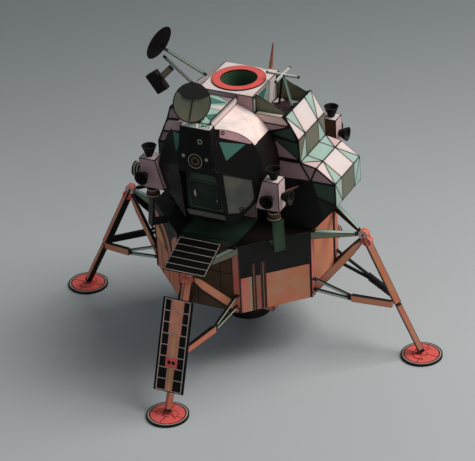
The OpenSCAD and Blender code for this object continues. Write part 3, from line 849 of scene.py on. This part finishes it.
def middle_block():
    """The block under the top deck. The deck is P(a, t): from the tunnel's circle, t = 0, to the square rim, t = 1."""
    lo, hi = box_mm("middle_block")
    hx, hy, top, low = hi[0], hi[1], hi[2], lo[2]
    n = 96
    a = np.arange(n) * 2 * np.pi / n
    c, s = np.cos(a), np.sin(a)
    reach = 1 / np.maximum(abs(c) / hx, abs(s) / hy)
    circle, square = np.stack([8.4 * c, 8.4 * s], 1), np.stack([reach * c, reach * s], 1)
    corner_a = np.arctan2(hy, hx)
    near = [np.argmin(abs(np.angle(np.exp(1j * (a - q)))))
            for q in (corner_a, np.pi - corner_a, np.pi + corner_a, -corner_a)]
    for k, (x, y) in zip(near, ((hx, hy), (-hx, hy), (-hx, -hy), (hx, -hy))):
        square[k] = (x, y)
    t = np.array([0, 0.3, 0.6, 0.8, 0.9, 0.96, 1.0])
    flat = circle + t[:, None, None] * (square - circle)
    points = np.concatenate([flat.reshape(-1, 2), np.full((n * len(t), 1), top)], 1)
    i = np.arange(n)
    j = (i + 1) % n
    rows = (np.arange(len(t) - 1) * n)[:, None]
    quads = np.stack([rows + i, rows + n + i, rows + n + j, rows + j], 2).reshape(-1, 4)
    rim = np.minimum(hx - abs(points[:, 0]), hy - abs(points[:, 1]))
    patches = [(points, (quads, None), "white", rim)]
    patches += turned([(0, top - 16, "black", False), (8.4, top - 16, "forest", False),
                       (8.4, top - 9, "leaf", False), (8.4, top, "leaf", False)][::-1], (0, 0, 0), turns=n)
    # Painted shade: the front wall, turned from the light, is mauve where the other walls are white.
    for k0, k1, colour in ((3, 0, "white"), (0, 1, "white"), (1, 2, "white"), (2, 3, "mauve")):
        first, last = near[k0], near[k1]
        idx = [(first + q) % n for q in range((last - first) % n + 1)]
        edge = square[idx]
        m = len(edge)
        zs = np.array([low, low + 2, 90, 113, top - 2.4, top - 1.2, top - 0.5, top])
        grid = np.concatenate([np.concatenate([edge, np.full((m, 1), z)], 1) for z in zs])
        u = np.arange(m - 1)
        rws = (np.arange(len(zs) - 1) * m)[:, None]
        wall = np.stack([rws + u, rws + u + 1, rws + m + u + 1, rws + m + u], 2).reshape(-1, 4)
        ends = np.minimum(np.linalg.norm(grid[:, :2] - edge[0], axis=1),
                          np.linalg.norm(grid[:, :2] - edge[-1], axis=1))
        patches.append((grid, (wall, None), colour, np.minimum(ends, top - grid[:, 2])))
    patches += panel(np.column_stack([square[near], np.full(4, low)])[::-1], "white", step=400)
    east = (1, 0, 0)
    patches += laid([(hx, -8.7, 128.6), (hx, 4.6, 128.6), (hx, 2, 119.3), (hx, -6.5, 117.9),
                     (hx, -10.4, 121.2)], "mint", east)
    patches += laid([(hx, -8, 127.6), (hx, 0, 127.6), (hx, -6.5, 119.0)], "teal", east, 0.09)
    patches += laid([(hx, -14, 117.9), (hx, -11.6, 117.9), (hx, -11.6, 128.8), (hx, -14, 128.8)], "mint",
                    east)
    make("middle_block", "white_card", patches)
    lo, hi = box_mm("docking_ring")
    ring = turned([(8.4, lo[2], "black", False), (12.5, lo[2], "black", False), (12.5, hi[2], "coral", True),
                   (8.4, hi[2], "black", True), (8.4, lo[2], "black", False)],
                  (0, 0, 0), turns=n)
    make("docking_ring", "red_card", ring)


def bay_wall(upper, lower, y0, y1, middle, near_colours, kind, inner=7.0):
    """One folded wall of a tank bay between two profile points: a middle panel, and at each end a square split by a fold."""
    (xu, zu), (xl, zl) = upper, lower
    U = lambda y: (xu, y, zu)
    L = lambda y: (xl, y, zl)
    patches = panel([U(-inner), L(-inner), L(inner), U(inner)], middle)
    top, low = near_colours
    if kind == "down":
        tris = [([U(y0), L(-inner), U(-inner)], top), ([U(y0), L(y0), L(-inner)], low),
                ([U(inner), L(inner), U(y1)], top), ([U(y1), L(inner), L(y1)], low)]
    else:
        tris = [([U(y0), L(y0), U(-inner)], top), ([U(-inner), L(y0), L(-inner)], low),
                ([U(inner), L(y1), U(y1)], top), ([U(inner), L(inner), L(y1)], low)]
    for corners, colour in tris:
        patches += panel(corners, colour)
    return patches


def mirrored(patches):
    """The same patches on the other side of the middle plane x = 0, with every face turned to keep facing out."""
    flip = np.array([-1, 1, 1])
    return [(p * flip, (q[:, ::-1], None if f is None else f[:, ::-1]), c, d) for p, (q, f), c, d in patches]


# Prints on the front and back of the tank bays. Mauve is the pale pink print darkened as painted shade on the front;
# the back carries it as blush.
FRONT_PRINTS = [
    ([(15.0, 117.2), (28.2, 117.2), (32.0, 117.2), (21.0, 113.4)], "mauve", 0),
    ([(32.1, 117.2), (21.5, 112.4), (34.9, 110.0)], "moss", 0),
    ([(21.9, 111.0), (35.4, 109.4), (35.8, 101.0)], "moss", 0),
    ([(23.9, 109.8), (35.4, 101.0), (23.0, 100.9)], "mauve", 0),
    ([(25.5, 99.5), (35.9, 99.5), (40.6, 91.4), (25.2, 90.5)], "mauve", 1),
    ([(36.4, 99.5), (43.6, 98.3), (40.9, 91.6)], "mauve", 1),
    ([(43.9, 98.2), (52.7, 91.6), (41.0, 91.5)], "mauve", 1),
    ([(41.6, 90.8), (52.6, 91.0), (52.9, 81.2), (43.9, 83.8)], "moss", 1),
    ([(44.1, 83.2), (52.4, 80.2), (46.6, 73.0)], "forest", 1),
]


def right_bays():
    upper = [(13.62, 100.1), (36.1, 100.1), (35.7, 111.3), (32.2, 117.3), (13.62, 117.3)]
    lower = [(13.62, 66.2), (42, 66.2), (46.8, 72), (53.4, 80), (53.1, 92), (44, 98.6), (36.1, 100.08),
             (13.62, 100.08)]
    walls = {
        "right_bay_upper": [(2, 1, "olive", ("olive", "mint"), "up")],
        "right_bay_lower": [(6, 5, "mint", ("mint", "blush"), "down"),
                            (5, 4, "white", ("white", "mint"), "up"),
                            (4, 3, "olive", ("mint", "mint"), "down"),
                            (3, 2, "slate", ("moss", "forest"), "up"),
                            (2, 1, "forest", ("forest", "black"), "down")],
    }
    lip_top, lip_foot = (29.4, 122.0), (32.2, 117.3)

    def wall_over(a, b, outline_points):
        """Panels of the sheet that the upper wall shares with the lip above it: given as (y, share down from a to b)."""
        return [(a[0] + (b[0] - a[0]) * t, y, a[1] + (b[1] - a[1]) * t) for y, t in outline_points]

    for number, (name, outline) in enumerate((("right_bay_upper", upper), ("right_bay_lower", lower))):
        y0, y1 = -14.4, 14.4
        patches = []
        if number == 0:
            a, b = outline[3], outline[2]
            for side in (1, -1):
                for pts, colour, inked in (([(-7, 0), (-11.15, 0), (-7, 1)], "mint", (False, True, True)),
                                           ([(-11.15, 0), (-14.4, 0), (-14.4, 1), (-7, 1)], "white",
                                            (False, True, True, True))):
                    corners = wall_over(a, b, [(side * y, t) for y, t in pts])
                    patches += panel(corners if side > 0 else corners[::-1], colour, inked if side > 0
                                     else (*inked[:-1][::-1], inked[-1]))
            patches += panel(wall_over(a, b, [(-7, 0), (-7, 1), (7, 1), (7, 0)]), "white",
                             (True, True, True, False))
        for a, b, middle, ends, kind in walls[name]:
            patches += bay_wall(outline[a], outline[b], y0, y1, middle, ends, kind)
        patches += panel([(x, y0, z) for x, z in outline], "black")
        patches += panel([(x, y1, z) for x, z in outline][::-1], "black")
        n = len(outline)
        done = {(b, a) for a, b, *_ in walls[name]} | {(a, b) for a, b,
                                                       *_ in walls[name]} | ({(2, 3)} if number == 0
                                                                             else set())
        for k in range(n):
            j = (k + 1) % n
            if (k, j) not in done:
                (xa, za), (xb, zb) = outline[k], outline[j]
                ys = (y0, -7.0, 7.0, y1)
                for p, q in zip(ys[:-1], ys[1:]):
                    up = abs(za - 117.3) < 0.01 and abs(zb - 117.3) < 0.01
                    patches += panel([(xa, p, za), (xa, q, za), (xb, q, zb), (xb, p, zb)], "white" if up
                                     else "black", [False] * 4 if not up else None)
        if number == 0:
            for pts, colour in (([(13.8, -11), (31.9, -11), (31.9, 11), (13.8, 11)], "plum"),
                                ([(14, -10.6), (22, -10.6), (14, -3.5)], "mint"),
                                ([(24, -10.6), (31.6, -10.6), (31.6, -4), (28, -7)], "mint"),
                                ([(21, -6.6), (24.4, -3.8), (20.4, 1), (17.2, -1.8)], "white"),
                                ([(27, -3), (31.6, 1), (31.6, 6), (24.6, 1.6)], "white"),
                                ([(14.2, 4), (19, 8.6), (17, 10.8), (14.2, 10.8)], "white"),
                                ([(22, 6), (27.6, 10.8), (20.6, 10.8)], "mint"),
                                ([(14.2, -1.4), (16.6, 1), (14.2, 3)], "white")):
                patches += laid([(x, y, 117.3) for x, y in pts], colour, (0, 0, 1), 0.05 if colour == "plum"
                                else 0.09, ink=colour != "plum")
        # Painted shade: mauve prints on the shaded front face are blush on the back.
        for corners, colour, which in FRONT_PRINTS:
            if which == number:
                patches += laid([(x, y0, z) for x, z in corners], colour, (0, -1, 0))
                patches += laid([(x, y1, z) for x, z in corners], "blush" if colour == "mauve" else colour,
                                (0, 1, 0))
        make(name, "white_card", patches)
    lip = folded("tray_lip", lambda out, mid: "black" if abs(out[2]) > 0.9 else "mint" if out[0] < 0
                 else "white", skip=lambda out, mid: out[0] > 0.5 and abs(out[1]) < 0.5)
    for side in (1, -1):
        for pts, colour, inked in (([(-7, 0), (-14.4, 0), (-11.15, 1), (-7, 1)], "mint",
                                    (True, True, False, True)),
                                    ([(-14.4, 0), (-14.4, 1), (-11.15, 1)], "white", (True, False, True))):
            corners = wall_over(lip_top, lip_foot, [(side * y, t) for y, t in pts])
            lip += panel(corners if side > 0 else corners[::-1], colour, inked if side > 0
                         else (*inked[:-1][::-1], inked[-1]))
    lip += panel(wall_over(lip_top, lip_foot, [(-7, 0), (-7, 1), (7, 1), (7, 0)]), "white",
                 (True, False, True, True))
    make("tray_lip", "white_card", lip)

    def gusset(out, mid):
        if abs(out[2]) > 0.6:
            return "cream"
        if abs(mid[1]) < 11.6:
            return "olive" if out[1] < 0 else "umber"
        return "blush" if out[1] < 0 else "white"

    make("tray_gussets", "olive_card", folded("tray_gussets", gusset))


def left_bay():
    outline = [(13.62, 66.2), (30, 66.2), (36.3, 73), (36.2, 98), (31, 110.5), (29, 117), (23.8, 121.6),
               (13.62, 129.2)]
    y0, y1 = -14.4, 14.4
    patches = []
    for a, b, middle, ends, kind in ((7, 6, "white", ("blush", "white"), "down"),
                                     (6, 5, "white", ("mint", "white"), "up"),
                                     (5, 4, "mint", ("white", "mint"), "down"),
                                     (4, 3, "white", ("white", "mint"), "up"),
                                     (3, 2, "blush", ("mint", "olive"), "down"),
                                     (2, 1, "slate", ("moss", "forest"), "up")):
        patches += bay_wall(outline[a], outline[b], y0, y1, middle, ends, kind)
    # Painted shade: the front face, turned from the light, is black and the back face white.
    patches += panel([(x, y0, z) for x, z in outline], "black")
    patches += panel([(x, y1, z) for x, z in outline][::-1], "white")
    for (xa, za), (xb, zb) in ((outline[0], outline[1]), (outline[7], outline[0])):
        for p, q in ((y0, -7.0), (-7.0, 7.0), (7.0, y1)):
            patches += panel([(xa, p, za), (xa, q, za), (xb, q, zb), (xb, p, zb)], "black", [False] * 4)
    for corners, colour in (([(14.0, 128.4), (14.0, 121.6), (23.4, 121.4)], "mauve"),
                            ([(14.2, 121.0), (23.6, 120.9), (28.4, 117.0), (14.2, 112)], "mauve"),
                            ([(28.6, 116.6), (15.5, 112), (30.6, 110.6)], "mauve"),
                            ([(15, 111.2), (30.6, 110.0), (33.4, 103.9), (15, 104.2)], "blush"),
                            ([(24, 103.6), (33.6, 103.3), (35.8, 98), (24, 99.6)], "mauve"),
                            ([(24.6, 98.8), (35.8, 97.2), (35.8, 84), (27, 88)], "moss"),
                            ([(27, 87), (35.8, 83), (35.9, 73.4), (30, 67)], "forest")):
        # Painted shade: mauve prints on the shaded front face are blush on the back.
        patches += laid([(x, y0, z) for x, z in corners], colour, (0, -1, 0))
        patches += laid([(x, y1, z) for x, z in corners], "blush" if colour == "mauve" else colour, (0, 1, 0))
    make("left_tank_bay", "white_card", mirrored(patches))


def aft_bay():
    """The equipment bay at the back, with printed panels ruled on its outer wall."""
    patches = folded("aft_bay", lambda out, mid: "white" if out[2] > 0.3 else "black"
                     if out[2] < -0.9 or out[1] < -0.5 else "mint" if abs(out[0]) > 0.5 else "blush")
    hi = box_mm("aft_bay")[1]
    y = hi[1]
    for x0, x1, z0, z1, colour in ((-21.4, -8, 88, 102, "mint"), (-21.4, -8, 73, 87, "olive"),
                                   (-7, 7, 73, 102, "white"), (8, 21.4, 88, 102, "olive"),
                                   (8, 21.4, 73, 87, "mint")):
        patches += laid([(x0, y, z0), (x1, y, z0), (x1, y, z1), (x0, y, z1)], colour, (0, 1, 0))
    for x in (-4.2, 0, 4.2):
        patches += stroke((x, y, 74), (x, y, 101), 0.25, (0, 1, 0), lift=0.09)
    for s in (-1, 1):
        patches += laid([(s * 22.4, 15, 70), (s * 22.4, 28, 74), (s * 22.4, 28, 88), (s * 22.4, 15, 96)],
                        "moss", (s, 0, 0))
        patches += laid([(s * 22.4, 15, 97), (s * 22.4, 28, 89), (s * 22.4, 28, 102), (s * 22.4, 22, 110),
                         (s * 22.4, 15, 112)], "mauve", (s, 0, 0))
    make("aft_bay", "white_card", patches)


def roof():
    """The flat box along the top of the cabin, the fin beside it, and the small tray and foot under the radar dish."""
    spine = folded("roof_spine", lambda out, mid: "mint" if out[2] > 0.5 else "black" if out[2] < -0.5
                   else "mauve" if out[1] < -0.5 else "mint")
    z = box_mm("roof_spine")[1][2]
    up = (0, 0, 1)
    for corners, colour in (([(-7.6, -38), (-1.5, -34), (-7.6, -29)], "white"),
                            ([(4.8, -39), (4.8, -30), (-1, -34.4)], "teal"),
                            ([(4.8, -28), (4.8, -21), (-6.5, -26)], "white"),
                            ([(-7.2, -25), (3.6, -20), (-7.2, -17)], "teal"),
                            ([(4.8, -19.6), (4.8, -14.8), (-3, -15.4)], "mauve")):
        spine += laid([(x, y, z) for x, y in corners], colour, up)
    make("roof_spine", "mint_card", spine)
    fin = folded("roof_fin", lambda out, mid: "white" if abs(out[0]) > 0.5 or out[2] > 0.5 else "mauve")
    lo, hi = box_mm("roof_fin")
    fin += stroke((hi[0], lo[1] + 1, hi[2] - 0.9), (hi[0], hi[1] - 1, hi[2] - 0.9), 0.22, (1, 0, 0))
    make("roof_fin", "white_card", fin)
    lo, hi = box_mm("radar_tray")
    tray = folded("radar_tray", lambda out, mid: "white" if out[2] > 0 else "black")
    tray += laid([(-5.6, -45.3, hi[2]), (0.6, -45.6, hi[2]), (-2.4, -42.0, hi[2])], "mint",
                 up) + laid([(1.4, -45.6, hi[2]), (6.4, -45.4, hi[2]), (5.6, -42.2, hi[2]),
                             (0.2, -42, hi[2])], "mint", up)
    tray += laid([(2.2, -44.9, hi[2]), (5.2, -43.4, hi[2]), (1.6, -42.6, hi[2])], "teal", up, 0.09)
    make("radar_tray", "mint_card", tray)
    make("radar_mount", "mint_card",
         folded("radar_mount", lambda out, mid: "mint" if abs(out[0]) < 0.5 else "teal"))


def thrusters():
    """Four boxes, each with three hollow cups and a ringed stack under it."""

    def paint(out, mid):
        # Painted light and shade: white on top, blush on the sides, mauve on the outer front and back faces, umber
        # underneath and on the faces turned to the cabin, where shade falls.
        if out[2] > 0.5:
            return "white"
        if out[2] < -0.5:
            return "umber"
        if abs(out[1]) > 0.5:
            return "mauve" if out[1] * mid[1] > 0 else "umber"
        return "blush"

    boxes = folded("thruster_boxes", paint)
    make("thruster_boxes", "white_card", boxes)

    def cup(base, axis, length, striped=False):
        rings = 7 if striped else 4
        s = np.linspace(0, 1, rings + 1)
        bow = 0.25 * np.sin(np.pi * s)
        colours = [("sage" if striped and k % 2 else "black") for k in range(rings + 1)]
        outer = [(0, 0, "black", False)] + [(1.5 + 2.0 * q + b * 0.0, length * q, c, False) for q, b,
                                            c in zip(s, bow, colours)]
        outer[-1] = (3.5, length, "dusk", False)
        lip = [(3.1, length, "soot", False), (1.2, 1.0, "black", False), (0, 1.0, "black", False)]
        return turned(outer + lip, base, axis, 40)

    cups, stacks = [], []
    for sx in (1, -1):
        for sy in (1, -1):
            cups += cup((sx * 31.2, sy * 32.6, 100.02), (0, 0, 1), 5.2)
            cups += cup((sx * 34.92, sy * 32.6, 92), (sx, 0, 0), 4.4, striped=sx < 0)
            cups += cup((sx * (30.4 if sx > 0 else 32.4), sy * 36.02, 91.6), (0, sy, 0), 4.0)
            base = np.array([sx * 30.6, sy * 32.6, 79.48])
            stacks += turned([(0, 0, "black", False), (3.2, 0, "soot", False), (3.2, 0.6, "bone", False),
                              (3.2, 1.0, "soot", False), (3.2, 1.6, "umber", False),
                              (2.3, 1.6, "umber", False),
                              (2.3, 3.0, "umber", False), (2.8, 3.0, "soot", False),
                              (2.8, 3.4, "bone", False), (2.8, 3.8, "soot", False),
                              (2.8, 4.2, "umber", False), (2.0, 4.2, "soot", False),
                              (2.0, 5.6, "black", False), (0, 5.6, "black", False)],
                             base, turns=36)
    make("thruster_nozzles", "black_card", cups)
    make("thruster_stacks", "pale_grey_card", stacks)
    make("thruster_struts", "pale_grey_card", folded("thruster_struts", lambda out, mid: "umber", ink=0.5))


def dish_radar():
    """The radar dish: a shallow cup of card, olive, with a painted shadow of its rim over the upper part, and a ruled
    centre line.
    """
    tilt, turn = math.radians(60), math.radians(4)
    axis = np.array([math.sin(turn) * math.sin(tilt), -math.cos(turn) * math.sin(tilt), math.cos(tilt)])
    centre = np.array([-0.9, -45, 138.3])
    body = turned([(0, 0, "umber", False), (7.5, 0, "umber", True), (9.0, 1.2, "black", False),
                   (8.5, 1.2, "olive", False), (4, 0.75, "olive", False), (0, 0.6, "olive", False)],
                  centre, axis)
    u, v, w = frame_of(axis)
    a = np.radians(np.linspace(28, 152, 17))
    r = 8.45
    # Painted shadow: the dark patch that the rim casts over the upper part of the cup, with a wavy lower edge.
    rim_shadow = [centre + w * 1.18 + r * math.cos(q) * u + r * math.sin(q) * v for q in a]
    shadow_edge = [centre + w * 1.18 + x * u + y * v for x,
            y in ((-6.0, 3.4), (-4.4, 1.6), (-1.8, 1.0), (1.0, 1.5), (4.0, 2.2), (6.4, 3.4))]
    body += laid(rim_shadow + shadow_edge, "dusk", w, 0.05, ink=False)
    body += stroke(centre + w * 0.9 + v * 1.2, centre + w * 1.18 - v * 8.4, 0.42, w, lift=0.12)
    make("radar_dish", "olive_card", body)


def dish_steerable():
    axis = np.array([-0.564, -0.478, 0.674])
    centre = np.array([-34.6, -8, 144.5]) - unit(axis)
    body = turned([(0, 0, "black", False), (3.5, 0, "black", False), (6, 1.3, "soot", False),
                   (8.5, 2.6, "soot", True), (8.3, 2.6, "soot", False), (5.8, 1.65, "soot", False),
                   (3.2, 0.9, "soot", False), (0, 0.7, "black", False)],
                  centre, axis)
    body += spot(centre + unit(axis) * 0.72, axis, 1.3, "black", lift=0.5)
    make("steerable_dish", "black_card", body)
    make("dish_boom", "mint_card",
         folded("dish_boom", lambda out, mid: "sage" if out[2] > 0.2 else "moss", ink=0.45))
    make("dish_arm", "olive_card",
         folded("dish_arm", lambda out, mid: "olive" if abs(out[1]) > 0.5 else "black"))
    make("dish_box", "black_card",
         folded("dish_box", lambda out, mid: "black" if abs(out[1]) > 0.5 else "soot"))


def antennas():
    make("cross_antenna", "mint_card",
         folded("cross_antenna", lambda out, mid: "black"
                if mid[2] < 131 and mid[0] < 19.9 or abs(out[2]) < 0.3 and max(abs(mid[0] - 20.3),
                                                                               abs(mid[1] - 4)) > 8 and mid[2] > 131
                                              else "white" if out[2] > 0.5 else "mint" if out[2] > -0.5
                                              else "black", ink=0.3))
    lean = math.radians(7.6)
    axis = np.array([math.sin(lean), 0, math.cos(lean)])
    length = 24.5
    make("spike_antenna", "pale_grey_card",
         turned([(0, 0, "copper", False), (1.3, 0, "copper", False), (0.95, length / 2, "clay", False),
                 (0.3, length, "clay", False), (0, length, "clay", False)],
                                                   (7.3, 15.72, 118), axis, 24))


# ---------------------------------------------------------------- stage

def aim(obj, target):
    obj.rotation_mode = "QUATERNION"
    obj.rotation_quaternion = (Vector(target) - obj.location).to_track_quat("-Z", "Y")


def studio():
    """A pale floor, with painted shade darkening it towards the back and the left, a soft light high behind the right
    shoulder, a weak fill, and the camera.
    """
    look = bpy.context.scene.lander_stage
    side = 9.0
    mesh = bpy.data.meshes.new("studio_floor")
    mesh.from_pydata([(-side, -side, 0), (side, -side, 0), (side, side, 0), (-side, side, 0)], [],
                     [(0, 1, 2, 3)])
    floor = bpy.data.objects.new("studio_floor", mesh)
    bpy.context.scene.collection.objects.link(floor)
    material = bpy.data.materials.new("Studio paper")
    material.use_nodes = True
    tree = material.node_tree
    shader = tree.nodes["Principled BSDF"]
    mottled = mixed(tree, ramp(tree, noise(tree, 3, 2)[0], 0.3, 0.7), (*linear(look.floor_colour), 1),
                    (*(linear(look.floor_colour) * 0.95), 1))
    # Painted shade: the floor darkens towards the back and the left, standing in for the light falling off away from
    # the lamps.
    sheet = wire(tree, "ShaderNodeSeparateXYZ", None,
                 n0=wire(tree, "ShaderNodeTexCoord").outputs["Object"]).outputs
    away = math_node(tree, "ADD", math_node(tree, "MULTIPLY", sheet[1], 0.90),
                     math_node(tree, "MULTIPLY", sheet[0], -0.42))
    mottled = mixed(tree, ramp(tree, away, -0.05, 0.44), mottled,
                    (*(linear(look.floor_colour) * (0.42, 0.44, 0.45)), 1))
    tree.links.new(mottled, shader.inputs["Base Color"])
    shader.inputs["Roughness"].default_value = 0.7
    shader.inputs["Specular IOR Level"].default_value = 0.2
    mesh.materials.append(material)
    for name, place, size, power, colour in (
            ("key_light", (0.60, 0.34, 1.0), 0.8, look.key_power, (1.0, 0.965, 0.93)),
            ("fill_light", (-0.9, -1.0, 0.75), 1.2, look.fill_power, (0.90, 0.95, 1.0)),
            ("front_light", (0.9, -0.7, 0.25), 0.8, look.front_power, (1.0, 0.98, 0.96))):
        lamp = bpy.data.lights.new(name, "AREA")
        lamp.energy, lamp.size, lamp.color = power, size, colour
        light = bpy.data.objects.new(name, lamp)
        bpy.context.scene.collection.objects.link(light)
        light.location = place
        aim(light, (0, 0, 0.06))
    world = bpy.data.worlds.new("Studio air")
    world.use_nodes = True
    world.node_tree.nodes["Background"].inputs[0].default_value = (*linear((0.60, 0.63, 0.66)), 1)
    world.node_tree.nodes["Background"].inputs[1].default_value = look.air
    bpy.context.scene.world = world
    a, e, roll, far = (math.radians(look.azimuth), math.radians(look.elevation), math.radians(look.roll),
                       1.134873)
    back = Vector((math.sin(a) * math.cos(e), -math.cos(a) * math.cos(e), math.sin(e)))
    right = Vector((math.cos(a), math.sin(a), 0))
    up = back.cross(right)
    across = right * math.cos(roll) + up * math.sin(roll)
    rise = up * math.cos(roll) - right * math.sin(roll)
    lens = bpy.data.cameras.new("view_camera")
    lens.lens, lens.sensor_width, lens.shift_x, lens.shift_y = 181.894, 36.0, -0.01784, -0.00273
    lens.clip_start, lens.clip_end = 0.05, 20
    camera = bpy.data.objects.new("view_camera", lens)
    bpy.context.scene.collection.objects.link(camera)
    camera.matrix_world = Matrix.Translation(Vector((0, 0, 0.05)) + back * far) @ Matrix((across, rise, back)).transposed().to_4x4()
    bpy.context.scene.camera = camera
    bpy.context.scene.view_settings.view_transform = "Standard"


# ---------------------------------------------------------------- add-on

class LanderPrintSettings(bpy.types.PropertyGroup):
    """How the card sheets are printed."""
    ink_width: bpy.props.FloatProperty(name="Ink width",
                                       description="Width of the ink along the folds, against each card's own", default=1.0, min=0.0, max=3.0, subtype="FACTOR")
    ink_colour: bpy.props.FloatVectorProperty(name="Ink colour", description="Colour of the fold ink",
                                              default=(0.075, 0.060, 0.058), min=0, max=1,
                                              subtype="COLOR_GAMMA")
    wash: bpy.props.FloatProperty(name="Wash", description="Strength of the watercolour blots", default=1.0,
                                  min=0.0, max=2.0, subtype="FACTOR")
    scuff: bpy.props.FloatProperty(name="Scuffing", description="How much ink has rubbed off the folds",
                                   default=1.0, min=0.0, max=2.0, subtype="FACTOR")
    cockle: bpy.props.FloatProperty(name="Cockle", description="How much the glue has drawn the sheets",
                                    default=1.0, min=0.0, max=3.0, subtype="FACTOR")


class LanderStageSettings(bpy.types.PropertyGroup):
    """The floor, the lights and the camera."""
    floor_colour: bpy.props.FloatVectorProperty(name="Floor colour",
                                                description="Colour of the paper under the model",
                                                default=(0.745, 0.765, 0.77), min=0, max=1,
                                                subtype="COLOR_GAMMA")
    key_power: bpy.props.FloatProperty(name="Key light", description="Power of the high soft light behind",
                                       default=12.8, min=0, unit="POWER")
    fill_power: bpy.props.FloatProperty(name="Fill light",
                                        description="Power of the weak light from the left", default=1.6,
                                        min=0, unit="POWER")
    front_power: bpy.props.FloatProperty(name="Front light",
                                         description="Power of the weak light from the front right",
                                         default=1.0, min=0, unit="POWER")
    air: bpy.props.FloatProperty(name="Air", description="Brightness of the air round the model",
                                 default=0.40, min=0, max=2)
    azimuth: bpy.props.FloatProperty(name="Azimuth", description="Camera's angle round the model, in degrees",
                                     default=26.357)
    elevation: bpy.props.FloatProperty(name="Elevation", description="Camera's height angle, in degrees",
                                       default=29.927)
    roll: bpy.props.FloatProperty(name="Roll", description="Camera's lean, in degrees", default=-2.679)


STEPS = [
    ("descent_box", "Descent stage", "Fold the eight-sided box, its posts and its skirt",
     (eight_sided_box, corner_posts, base_skirt)),
    ("engine_bell", "Engine bell", "Roll the engine bell", (engine_bell,)),
    ("porch", "Porch", "Fold the deck and the porch plate", (porch,)),
    ("ladder", "Ladder", "Print the ladder", (ladder,)),
    ("legs", "Legs", "Fold the struts of the four legs", (legs,)),
    ("footpads", "Footpads", "Cut the four footpads", (footpads,)),
    ("deflectors", "Plume deflectors", "Cut the four plume deflectors", (plume_deflectors,)),
    ("cabin", "Cabin", "Roll the cabin and fold its front column", (cabin,)),
    ("hatch", "Hatch", "Print the front hatch", (hatch,)),
    ("middle_block", "Middle block", "Fold the middle block and its docking ring", (middle_block,)),
    ("right_bays", "Right tank bays", "Fold the right-hand bays and the antenna tray", (right_bays,)),
    ("left_bay", "Left tank bay", "Fold the left-hand bay", (left_bay,)),
    ("aft_bay", "Aft bay", "Fold the equipment bay at the back", (aft_bay,)),
    ("roof", "Roof", "Fold the spine, fin, tray and radar foot", (roof,)),
    ("thrusters", "Thrusters", "Fold the thruster boxes and roll their cups", (thrusters,)),
    ("radar_dish", "Radar dish", "Cut the radar dish", (dish_radar,)),
    ("steerable_dish", "Steerable dish", "Roll the steerable dish and fold its boom", (dish_steerable,)),
    ("antennas", "Antennas", "Fold the cross antenna and roll the spike", (antennas,)),
    ("studio", "Studio", "Lay the floor and place the lights and the camera", (studio,)),
]


def operator_for(key, label, text, makers):
    """The Operator that runs the makers of one step. A maker that fails raises, so its step fails."""
    def execute(self, context):
        for maker in makers:
            maker()
        return {"FINISHED"}

    return type("LANDER_OT_" + key, (bpy.types.Operator,),
                {"bl_idname": "lander." + key, "bl_label": label, "bl_description": text, "__doc__": text,
                 "execute": execute})


class LANDER_PT_sheets(bpy.types.Panel):
    """Lists the steps and the settings."""
    bl_label = "Card Lunar Lander"
    bl_idname = "LANDER_PT_sheets"
    bl_space_type = "VIEW_3D"
    bl_region_type = "UI"
    bl_category = "Lander"

    def draw(self, context):
        for group in (context.scene.lander_print, context.scene.lander_stage):
            for key in group.__annotations__:
                self.layout.prop(group, key)
        for key, *_ in STEPS:
            self.layout.operator("lander." + key)


CLASSES = [LanderPrintSettings, LanderStageSettings, *[operator_for(*step) for step in STEPS],
           LANDER_PT_sheets]


def register():
    """Registers the operators, the panel and the settings."""
    for cls in CLASSES:
        bpy.utils.register_class(cls)
    bpy.types.Scene.lander_print = bpy.props.PointerProperty(type=LanderPrintSettings)
    bpy.types.Scene.lander_stage = bpy.props.PointerProperty(type=LanderStageSettings)


def unregister():
    """Takes the settings, the panel and the operators away."""
    del bpy.types.Scene.lander_print, bpy.types.Scene.lander_stage
    for cls in reversed(CLASSES):
        bpy.utils.unregister_class(cls)


def main():
    """Builds every piece in order."""
    register()
    for key, *_ in STEPS:
        getattr(bpy.ops.lander, key)()


if __name__ == "__main__":
    main()
